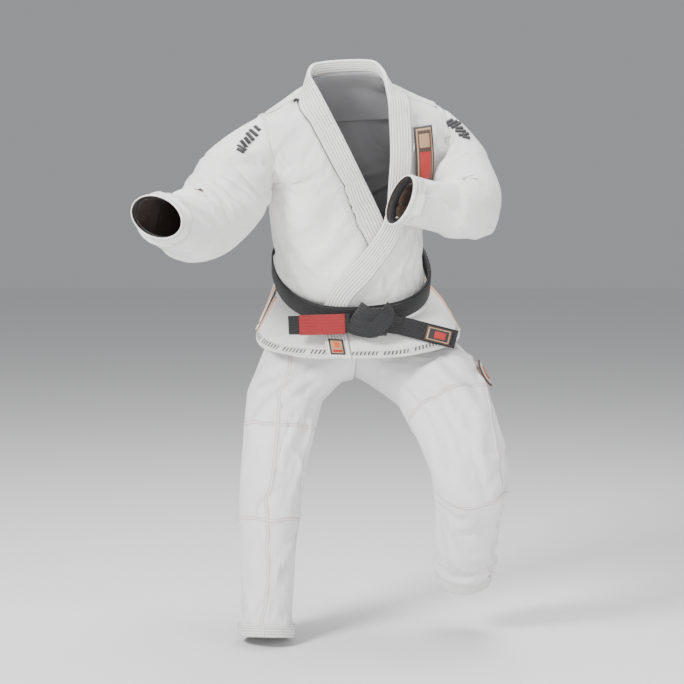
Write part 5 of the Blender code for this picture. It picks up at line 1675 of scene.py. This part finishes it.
CAD_SKIRTS = {
    "right_flap": ("right_skirt", "right_skirt_side", "right_hem_tape", "right_front_vent_tape"),
    "left_flap": ("left_skirt", "left_skirt_side", "left_hem_tape", "left_front_vent_tape"),
    "back_flap": ("back_skirt", "back_skirt_right_side", "back_skirt_left_side", "back_hem_tape",
                  "right_back_vent_tape", "left_back_vent_tape"),
}
for which, fabric in SKIRTS.items():
    # The skirts' inner walls are grey painted shade.
    cloth = cut_cloth(which + "_cloth", fabric.grid(which), fabric.outward(which), False,
                      JACKET_WALL, [JACKET_COTTON, INNER_WALL_PAINTED_SHADE])
    hang_skirt(cloth, which)
    declare(cloth, fabric.grid(which))
    skirt_cad, hem_cad = CAD_SKIRTS[which][:2], CAD_SKIRTS[which][2:]
    if which == "back_flap":
        skirt_cad, hem_cad = CAD_SKIRTS[which][:3], CAD_SKIRTS[which][3:]
    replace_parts(cloth, *skirt_cad)
    hem_up = 0.105
    points, normals = trail(fabric, which, [(0.0, hem_up), (0.5, hem_up), (1.0, hem_up)], 90)
    tape = strip(which + "_hem_tape", points, normals, HEM_TAPE_WIDTH * 0.85, 0.0013, PRINTED_TAPE)
    hang_skirt(tape, which)
    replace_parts(tape, hem_cad[0])
    points, normals = trail(fabric, which, [(0.0, 0.022), (0.5, 0.022), (1.0, 0.022)], 90)
    hem = strip(which + "_hem_edge", points, normals, 0.007, 0.0012, JACKET_SEAM)
    hang_skirt(hem, which)
    sides = {"right_flap": (0.0,), "left_flap": (1.0,), "back_flap": (0.0, 1.0)}[which]
    for at, cad in zip(sides, hem_cad[1:] if which != "back_flap" else hem_cad[1:][::-1]):
        width = sizes_of(fabric.grid(which))[0]
        inset = VENT_TAPE_WIDTH / 2 / width
        place = at + (inset if at == 0 else -inset)
        points, normals = trail(fabric, which, [(place, 0.01), (place, 0.35), (place, 0.68)], 40)
        side_tape = strip(f"{which}_vent_tape_{int(at)}", points, normals, VENT_TAPE_WIDTH, 0.0015,
                          PEACH_TAPE)
        hang_skirt(side_tape, which)
        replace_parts(side_tape, cad)

for name, marks, which, sink, cad in (
    ("under_lapel_lower", under_end_marks, "right_flap", 0.0020, "under_lapel_end"),
    ("over_lapel_lower", over_end_marks, "left_flap", 0.0, "over_lapel_end"),
):
    inner = -JACKET_CLOTH - sink
    outline = quilted_outline(inner, inner + LAPEL_END_THICKNESS + 0.0006)
    lower = lapel_skin(name, marks, outline, LAPEL_COTTON)
    hang_skirt(lower, which)
    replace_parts(lower, cad)


def on_marks(marks, share, distance, height):
    """A world point on a lapel's stretch: its share along, then how far across and out."""
    place = share * (len(marks) - 1)
    i = min(int(place), len(marks) - 2)
    found = [across_lapel(three, distance, height) for three in (marks[i], marks[i + 1])]
    return mix(found[0], found[1], place - i)


def label_layer(name, shares, sides, height, thickness, material):
    """A layer of the lapel's label, between two shares of the over lapel's end and across it."""
    def place_at(up, over):
        return on_marks(over_end_marks, mix(*shares, up), mix(*sides, over), height)

    return woven_layer(name, place_at, 12, 8, thickness, material, "left_skirt")


label_base = LAPEL_END_THICKNESS - JACKET_CLOTH + 0.0030
label = label_layer("lapel_label_frame", (0.08, 0.47), (0.008, 0.037), label_base, 0.0025,
                    BLACK_WEAVE)
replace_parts(label, "lapel_label")
for what, shares, sides, lift, weave in (
    ("ground", (0.11, 0.44), (0.011, 0.034), 0.0006, TAN_WEAVE),
    ("spot", (0.26, 0.40), (0.017, 0.028), 0.0012, ORANGE_WEAVE),
    ("bar", (0.13, 0.20), (0.013, 0.032), 0.0012, RED_WEAVE),
):
    label_layer("lapel_label_" + what, shares, sides, label_base + lift, 0.001, weave)


# ---------------------------------------------------------------- trousers


def crotch_line():
    """The crotch seam from the front of the seat to the back, under the body."""
    ring = seat_ring(0.0)
    start, end = ring[3 * BODY_SIDES // 4], ring[BODY_SIDES // 4]
    points = []
    for i in range(1, 16):
        t = i / 16
        fall = math.sin(math.pi * t) ** 0.7
        point = mix(start, end, t)
        points.append(Vector((point.x, point.y, mix(point.z, CROTCH_HEIGHT, fall))))
    return [start, *points, end]


def leg_rings(side):
    hip, thigh, shin = (
        (RIGHT_HIP, RIGHT_THIGH_WAY, RIGHT_SHIN_WAY)
        if side < 0 else (LEFT_HIP, LEFT_THIGH_WAY, LEFT_SHIN_WAY)
    )
    knee = hip + thigh * THIGH
    ring = seat_ring(0.0)
    quarter = BODY_SIDES // 4
    if side > 0:
        outer = [ring[i % BODY_SIDES] for i in range(quarter, -quarter - 1, -1)]
    else:
        outer = [ring[i] for i in range(quarter, 3 * quarter + 1)]
    hole = outer + crotch_line()[1:-1]

    def circle(centre, way, wide, deep):
        return limb_ring(centre, way, wide, deep, Vector((1, 0, 0)), len(hole))

    def thigh_ring(distance):
        radius = mix(THIGH_RADIUS, KNEE_RADIUS, (distance - HIP_REACH) / (THIGH - HIP_REACH))
        return circle(hip + thigh * distance, thigh, radius, radius * 1.06)

    def shin_ring(distance):
        radius = mix(KNEE_RADIUS, HEM_RADIUS, (distance / SHIN) ** 0.8)
        return circle(knee + shin * distance, shin, radius, radius * 1.04)

    top = thigh_ring(HIP_REACH)
    turned = pairing(top, hole)
    rings = [[mix(a, b, i / 10) for a, b in zip(hole, turned(top))] for i in range(10)]
    rings += [turned(thigh_ring(mix(HIP_REACH, THIGH - KNEE_REACH, i / 8))) for i in range(8)]
    begin, end = knee - thigh * KNEE_REACH, knee + shin * KNEE_REACH
    width = mix(THIGH_RADIUS, KNEE_RADIUS, 0.6)
    for i in range(16):
        t = i / 16
        way = mix(thigh, shin, t).normalized()
        wide = mix(width, KNEE_RADIUS * 0.95, t)
        rings.append(turned(circle(bend(begin, knee, end, t), way, wide, wide * 1.05)))
    rings += [turned(shin_ring(mix(KNEE_REACH, SHIN, i / 19))) for i in range(20)]
    return rings


trousers = Fabric()
trousers.sew("seat", [seat_ring(i / 12) for i in range(13)], wrap=True)
trousers.sew("right_leg", leg_rings(-1), wrap=True)
trousers.sew("left_leg", leg_rings(1), wrap=True)
trousers.settle()


def leg_folds(side):
    """Folds that fan out from the crotch and gather at the knee and above the hem."""
    name = "right_leg" if side < 0 else "left_leg"
    front = facing(trousers, name, 0.35, (0, -1, 0))
    inner = facing(trousers, name, 0.12, (-side, -0.5, 0))
    behind = facing(trousers, name, 0.5, (0, 1, 0))
    turn = 1 if (facing(trousers, name, 0.35, (1, 0, 0)) - front) % 1 < 0.5 else -1
    out = turn * side
    folds = [
        (inner, 0.05, front + out * 0.12, 0.34, 0.016, 0.011),
        (inner, 0.08, front - out * 0.02, 0.44, 0.015, 0.010),
        (inner - out * 0.04, 0.12, front - out * 0.12, 0.52, 0.015, 0.008),
        (inner + out * 0.06, 0.02, front + out * 0.20, 0.16, 0.014, 0.008),
        (front + out * 0.26, 0.10, front + out * 0.10, 0.46, 0.017, 0.008),
        (behind, 0.42, behind + 0.20, 0.50, 0.015, 0.010),
        (behind, 0.47, behind - 0.22, 0.53, 0.015, 0.010),
        (behind + 0.04, 0.53, behind + 0.26, 0.64, 0.014, 0.009),
        (behind - 0.03, 0.57, behind - 0.24, 0.70, 0.014, 0.008),
        (front - out * 0.16, 0.48, front + out * 0.10, 0.60, 0.015, 0.007),
        (front + out * 0.18, 0.54, front - out * 0.06, 0.74, 0.015, 0.008),
        (front - out * 0.20, 0.62, front + out * 0.02, 0.88, 0.014, 0.007),
        (front + out * 0.24, 0.70, front + out * 0.12, 0.94, 0.013, 0.006),
        (behind + 0.10, 0.72, behind - 0.06, 0.92, 0.014, 0.006),
        (behind - 0.14, 0.10, behind + 0.05, 0.38, 0.017, 0.009),
    ]
    return folds


for name, side in (("right_leg", -1), ("left_leg", 1)):
    shape = trousers.grids[name][0].shape
    width, length, _ = sizes_of(trousers.grid(name))
    folds = fold_heights(shape, (width, length), leg_folds(side), True)
    trousers.push(name, folds * hold_edges(shape, True, True))

held = {}
for n in trousers.grids["seat"][0][-2:].ravel():
    held[int(n)] = 1.0
for name in ("right_leg", "left_leg"):
    for n in trousers.grids[name][0][-3:].ravel():
        held[int(n)] = 1.0
crumple(trousers, held, growth=0.055, room=0.016)

# The seat's inner wall is grey painted shade.
seat = cut_cloth("trouser_seat_cloth", trousers.grid("seat"), trousers.outward("seat"), True,
                 TROUSER_WALL, [TROUSER_COTTON, INNER_WALL_PAINTED_SHADE])
rides(seat, "uniform")
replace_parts(seat, "trouser_seat")
declare(seat, trousers.grid("seat"))

LEG_SPLIT = 15
for side, word, hip, thigh, shin in (
    (-1, "right", RIGHT_HIP, RIGHT_THIGH_WAY, RIGHT_SHIN_WAY),
    (1, "left", LEFT_HIP, LEFT_THIGH_WAY, LEFT_SHIN_WAY),
):
    name = word + "_leg"
    places, normals = trousers.grid(name), trousers.outward(name)
    knee = hip + thigh * THIGH
    # Both leg pieces have grey painted shade on their inner walls.
    upper = cut_cloth(word + "_leg_upper", places[: LEG_SPLIT + 1], normals[: LEG_SPLIT + 1], True,
                      TROUSER_WALL, [TROUSER_COTTON, INNER_WALL_PAINTED_SHADE])
    hip_start, hip_end = (tuple(hip + thigh * reach) for reach in HIP_BLEND)
    knee_start, knee_end = tuple(knee - thigh * KNEE_BLEND), tuple(knee + shin * KNEE_BLEND)
    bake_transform(upper)
    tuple(hip_start)
    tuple(hip_end)
    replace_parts(upper, *((word + "_hip", "crotch_gusset") if side < 0 else (word + "_hip",)))
    declare(upper, places[: LEG_SPLIT + 1])
    lower = cut_cloth(word + "_leg_lower", places[LEG_SPLIT:], normals[LEG_SPLIT:], True,
                      TROUSER_WALL, [TROUSER_COTTON, INNER_WALL_PAINTED_SHADE])
    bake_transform(lower)
    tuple(knee_start)
    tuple(knee_end)
    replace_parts(lower, word + "_thigh", word + "_knee", word + "_shin")
    declare(lower, places[LEG_SPLIT:])

    rows = places.shape[0] - 1
    split = LEG_SPLIT / rows
    way = Vector((0.12, -1, 0)) if side < 0 else Vector((0.80, -0.6, 0))
    seam_side = facing(trousers, name, 0.45, way)
    line = [(seam_side, up) for up in (0.02, 0.12, 0.22, split)]
    points, outs = trail(trousers, name, line, 60)
    seam = strip(word + "_thigh_seam", points, outs, 0.011, 0.0011, SEAM_COTTON)
    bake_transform(seam)
    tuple(hip_start)
    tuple(hip_end)
    line = [(seam_side, up) for up in (split, 0.40, 0.52, 0.64, 0.78, 0.998)]
    points, outs = trail(trousers, name, line, 110)
    seam = strip(word + "_shin_seam", points, outs, 0.011, 0.0011, SEAM_COTTON)
    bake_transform(seam)
    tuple(knee_start)
    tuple(knee_end)

    arc = facing(trousers, name, 0.30, (0, -1, 0))
    for at, what, reach in ((split, "upper", 0.5), (0.60, "lower", 0.24)):
        spread = [d / 4 for d in range(-4, 5)]
        line = [(arc + d * reach, at + 0.004 * math.cos(d * 5)) for d in spread]
        points, outs = trail(trousers, name, line, 96)
        reinforce = strip(f"{word}_knee_patch_{what}_seam", points, outs, 0.009, 0.0011,
                          SEAM_COTTON)
        if what == "upper":
            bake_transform(reinforce)
            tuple(hip_start)
            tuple(hip_end)
            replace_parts(reinforce, word + "_knee_patch")
        else:
            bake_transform(reinforce)
            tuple(knee_start)
            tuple(knee_end)
    rings = []
    for k in range(5):
        ring = [trousers.place(name, i / 72, 1 - (0.004 + k * 0.0062) / 0.70) for i in range(72)]
        rings.append(strip(f"{word}_hem_row_{k}", [p for p, _ in ring], [n for _, n in ring],
                           0.0048, 0.0010, JACKET_SEAM, closed=True))
    hem = rides(joined(word + "_hem_rows", rings), word + "_shin")
    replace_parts(hem, word + "_hem")

band_out = Section(0, 0, 0, 0, WAIST_WIDTH / 2 - JACKET_CLOTH - WORN_GAP,
                   WAIST_FRONT - JACKET_CLOTH - WORN_GAP, WAIST_BACK - JACKET_CLOTH - WORN_GAP)
ring, outs = [], []
for i in range(BODY_SIDES):
    point = body_point(band_out, 2 * math.pi * i / BODY_SIDES)
    ring.append(BELT_FRAME @ (point + Vector((0, 0, -0.002))))
    outs.append((BELT_FRAME.to_3x3() @ Vector((point.x, point.y, 0))).normalized())
band_finish = plain_cotton("waistband_cotton", WHITE)
band_finish.stitches(0.0080, 0.0040, THREAD, 0.0010)
waistband = strip("elastic_waistband", ring, outs, WAISTBAND_WIDTH, 0.0010, band_finish.material,
                  sink=0.0018, closed=True)
rides(waistband, "uniform")
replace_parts(waistband, "waistband")


# ---------------------------------------------------------------- woven patches and print


def round_patch():
    """The round patch on the left hip: an edge, a pale ground and a darker middle."""
    way = LEFT_THIGH_WAY
    outside = across(way, Vector((1, -0.6, 0)))[0]
    aim = LEFT_HIP + way * (HIP_REACH + 0.030) + outside * THIGH_RADIUS
    grid, outs = trousers.grid("left_leg"), trousers.outward("left_leg")
    near = np.linalg.norm(grid - np.array(aim), axis=2)
    at = np.unravel_index(near.argmin(), near.shape)
    window = near < 0.028
    normal = Vector((outs[window].sum(axis=0))).normalized()
    reach = max((Vector(p) - Vector(grid[at])).dot(normal) for p in grid[window])
    middle = Vector(grid[at]) + normal * (max(reach, 0) * 0.6 + 0.0012)
    up, beside = across(normal, Vector((0, 0, 1)))
    turn = Matrix((beside, up, normal))
    place = Matrix.Translation(middle) @ turn.transposed().to_4x4()
    pieces = []
    for name, radius, height, depth, material in (
        ("hip_patch_rim", 0.0285, 0.0, 0.003, BROWN_WEAVE),
        ("hip_patch_ground", 0.0235, 0.0016, 0.0016, LIGHT_WEAVE),
        ("hip_patch_ring", 0.0150, 0.0024, 0.0012, RED_WEAVE),
        ("hip_patch_middle", 0.0095, 0.0030, 0.0012, TAN_WEAVE),
    ):
        bpy.ops.object.select_all(action="DESELECT")
        bpy.ops.mesh.primitive_cylinder_add(
            vertices=64, radius=radius, depth=depth, location=(0, 0, 0)
        )
        obj = bpy.context.object
        obj.name = name
        bpy.ops.object.mode_set(mode="EDIT")
        bpy.ops.mesh.select_all(action="SELECT")
        bpy.ops.transform.translate(value=(0, 0, height))
        bpy.ops.mesh.select_all(action="DESELECT")
        bpy.ops.mesh.select_mode(type="FACE")
        bpy.ops.object.mode_set(mode="OBJECT")
        for polygon in obj.data.polygons:
            polygon.select = polygon.normal.z > 0.9
        bpy.ops.object.mode_set(mode="EDIT")
        bpy.ops.mesh.inset(thickness=0.0016, depth=0)
        bpy.ops.transform.translate(value=(0, 0, 0.0004))
        bpy.ops.object.mode_set(mode="OBJECT")
        for vertex in obj.data.vertices:
            vertex.co.z -= (vertex.co.x**2) / (2 * 0.11)
        obj.data.transform(place @ Matrix.Diagonal((0.80, 1.12, 1, 1)))
        obj.data.materials.append(material)
        rides(obj, "left_thigh")
        pieces.append(obj)
    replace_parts(pieces[0], "hip_patch")


round_patch()


# ---------------------------------------------------------------- belt


def belt_wrap(name, layer, slip):
    ring = belt_ring(layer, 0)
    middle = sum(ring, Vector()) / len(ring)
    up = waist_normal()
    points, outs = [], []
    for i, point in enumerate(ring):
        out = point - middle
        out = (out - up * out.dot(up)).normalized()
        turn = 2 * math.pi * i / len(ring)
        points.append(point + up * slip * math.cos(turn + 0.8) - out * (BELT_THICKNESS / 2))
        outs.append(out)
    wrap = strip(name, points, outs, BELT_WIDTH, BELT_THICKNESS / 2, BELT_COTTON,
                 sink=BELT_THICKNESS / 2, edge=0.06, closed=True)
    return rides(wrap, "uniform")


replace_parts(belt_wrap("belt_first_turn", 0, 0.0), "belt_inner_wrap")
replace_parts(belt_wrap("belt_second_turn", 1, -0.0045), "belt_outer_wrap")


def strap(name, controls, width, thick, body="uniform"):
    """A length of belt through (place, outward) controls in the knot's frame."""
    frame_of_knot = knot_frame()
    turn = frame_of_knot.to_3x3()
    places = [frame_of_knot @ Vector(place) for place, _ in controls]
    outs = [(turn @ Vector(out)).normalized() for _, out in controls]
    count, steps = len(places) - 1, 14
    frames = []
    for k in range(count * steps + 1):
        at = k / steps
        i = min(int(at), count - 1)
        t = at - i
        before = places[max(i - 1, 0)]
        after = places[min(i + 2, count)]
        leave, arrive = (places[i + 1] - before) / 2, (after - places[i]) / 2
        point = (
            places[i] * (2 * t**3 - 3 * t**2 + 1) + leave * (t**3 - 2 * t**2 + t)
            + places[i + 1] * (3 * t**2 - 2 * t**3) + arrive * (t**3 - t**2)
        )
        frames.append((point, mix(outs[i], outs[i + 1], smooth(t)).normalized()))
    swept = []
    for k, (point, out) in enumerate(frames):
        along = (frames[min(k + 1, len(frames) - 1)][0] - frames[max(k - 1, 0)][0]).normalized()
        out = (out - along * out.dot(along)).normalized()
        swept.append((point, out.cross(along), out))
    return rides(ribbon(name, swept, band_outline(width, thick), BELT_COTTON), body)


def band_outline(width, thick, ribs=True):
    """A belt's outline: rounded long edges and shallow grooves between its rows of stitches."""
    half, deep = width / 2, thick / 2
    top = []
    steps = 40
    for k in range(steps + 1):
        a = mix(-half + 0.0008, half - 0.0008, k / steps)
        groove = 0.00035 * (0.5 + 0.5 * math.cos(2 * math.pi * (a / 0.0048 - 0.5))) ** 2
        top.append((a, deep - (groove if ribs else 0)))
    return ((-half, 0), *top, (half, 0), *[(a, -b) for a, b in top[::-1]])


knot_core = strap("knot_core", (
    ((0.002, 0.012, 0.022), (0, 0.6, 1)), ((0.002, -0.002, 0.026), (0, -0.5, 1)),
    ((0.0, -0.007, 0.004), (0, -1, 0)), ((0.0, -0.004, -0.024), (0, -0.6, -1)),
    ((0.0, 0.012, -0.022), (0, 0.6, -1)),
), 0.050, 0.008)
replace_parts(knot_core, "belt_knot")
strap("knot_lower_strap", (
    ((0.056, -0.001, -0.009), (0.15, -1, 0)), ((0.034, -0.008, -0.005), (0.1, -1, 0.05)),
    ((0.008, -0.0125, 0.000), (0, -1, 0)), ((-0.016, -0.011, 0.012), (-0.1, -1, 0.1)),
    ((-0.032, -0.003, 0.024), (-0.5, -0.8, 0.4)), ((-0.036, 0.010, 0.026), (-0.8, 0.2, 0.5)),
), 0.037, 0.0062)
strap("knot_upper_strap", (
    ((-0.056, -0.001, -0.003), (-0.15, -1, 0)), ((-0.034, -0.009, -0.010), (-0.1, -1, -0.1)),
    ((-0.006, -0.0165, -0.012), (0, -1, -0.05)), ((0.014, -0.0155, 0.004), (0.05, -1, 0.1)),
    ((0.029, -0.008, 0.020), (0.4, -0.9, 0.3)), ((0.036, 0.006, 0.027), (0.8, -0.2, 0.5)),
), 0.037, 0.0062)

TAIL_THICKNESS = BELT_THICKNESS * 2
BAR_STAND = 0.0030          # how much larger the red bar is than the belt inside it


def belt_tail(side, name):
    """Makes one tail of the belt. Returns the frames along it."""
    frames = tail_frames(side, 40)
    outline = band_outline(BELT_WIDTH, TAIL_THICKNESS)
    tail = rides(ribbon(name + "_strap", frames, outline, BELT_COTTON), name)
    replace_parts(tail, name)
    return frames


bar_frames = belt_tail(-1, "red_bar_tail")[3:34]
bar_outline = band_outline(BELT_WIDTH + BAR_STAND, TAIL_THICKNESS + BAR_STAND, False)
bar = rides(ribbon("rank_bar_sleeve", bar_frames, bar_outline, RED_SATIN), "red_bar_tail")
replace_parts(bar, "rank_bar")
label_tail = belt_tail(1, "label_tail")


def tail_layer(name, first, last, width, low, high, material):
    """A layer of the belt's label, between two frames of its tail and two heights over its face."""
    face = BELT_THICKNESS + (low + high) / 2
    part = [(point + out * face, over, out) for point, over, out in label_tail[first:last]]
    outline = band_outline(width, high - low, False)
    return rides(ribbon(name, part, outline, material), "label_tail")


patch = tail_layer("belt_label_frame", 18, 37, 0.0315, 0.0001, 0.0020, BROWN_WEAVE)
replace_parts(patch, "belt_label")
tail_layer("belt_label_border", 19, 36, 0.0270, 0.0010, 0.0024, TAN_WEAVE)
tail_layer("belt_label_ground", 20, 35, 0.0235, 0.0014, 0.0028, BLACK_WEAVE)
tail_layer("belt_label_panel", 24, 33, 0.0150, 0.0018, 0.0033, RED_WEAVE)


# ---------------------------------------------------------------- floor, light and camera


def stage_mesh():
    bpy.ops.object.select_all(action="DESELECT")
    bpy.ops.mesh.primitive_plane_add(size=14, location=(0, 3, CAD_BOX[0][2]))
    floor = bpy.context.object
    floor.name = "floor"
    paper = bpy.data.materials.new("pale_paper")
    paper.use_nodes = True
    shader = paper.node_tree.nodes["Principled BSDF"]
    shader.inputs["Base Color"].default_value = (0.86, 0.86, 0.86, 1)
    shader.inputs["Roughness"].default_value = 0.9
    floor.data.materials.append(paper)


def area_light(name, place, aim, size, power):
    light = bpy.data.lights.new(name, "AREA")
    light.size = size
    light.energy = power
    obj = bpy.data.objects.new(name, light)
    obj.location = place
    obj.rotation_euler = (Vector(aim) - Vector(place)).to_track_quat("-Z", "Y").to_euler()
    bpy.context.scene.collection.objects.link(obj)


stage_mesh()
area_light("key", (-2.3, -2.2, 2.5), (0, 0, 0.7), 1.0, 215)
area_light("fill", (2.6, -2.2, 1.2), (0, 0, 0.7), 2.0, 52)
area_light("front", (0.3, -3.6, 0.9), (0, 0, 0.6), 1.6, 46)
area_light("top", (0.4, 0.5, 3.0), (0, 0, 0.7), 1.4, 80)
world = bpy.data.worlds.new("studio")
world.use_nodes = True
world.node_tree.nodes["Background"].inputs["Color"].default_value = (0.96, 0.97, 1.0, 1)
world.node_tree.nodes["Background"].inputs["Strength"].default_value = 0.34
bpy.context.scene.world = world

CAMERA_AIM = RIGHT_HIP + Vector((0.1026, -0.050, -0.03996))
CAMERA_DISTANCE = 4.2
CAMERA_TIP = math.radians(6)
camera_data = bpy.data.cameras.new("camera")
camera_data.lens = 100.5
camera_data.sensor_width = 36
camera = bpy.data.objects.new("camera", camera_data)
level_way = Vector((0, -math.cos(CAMERA_TIP), math.sin(CAMERA_TIP)))
camera.location = CAMERA_AIM + level_way * CAMERA_DISTANCE
camera.rotation_euler = (math.pi / 2 - CAMERA_TIP, 0, 0)
bpy.context.scene.collection.objects.link(camera)
bpy.context.scene.camera = camera
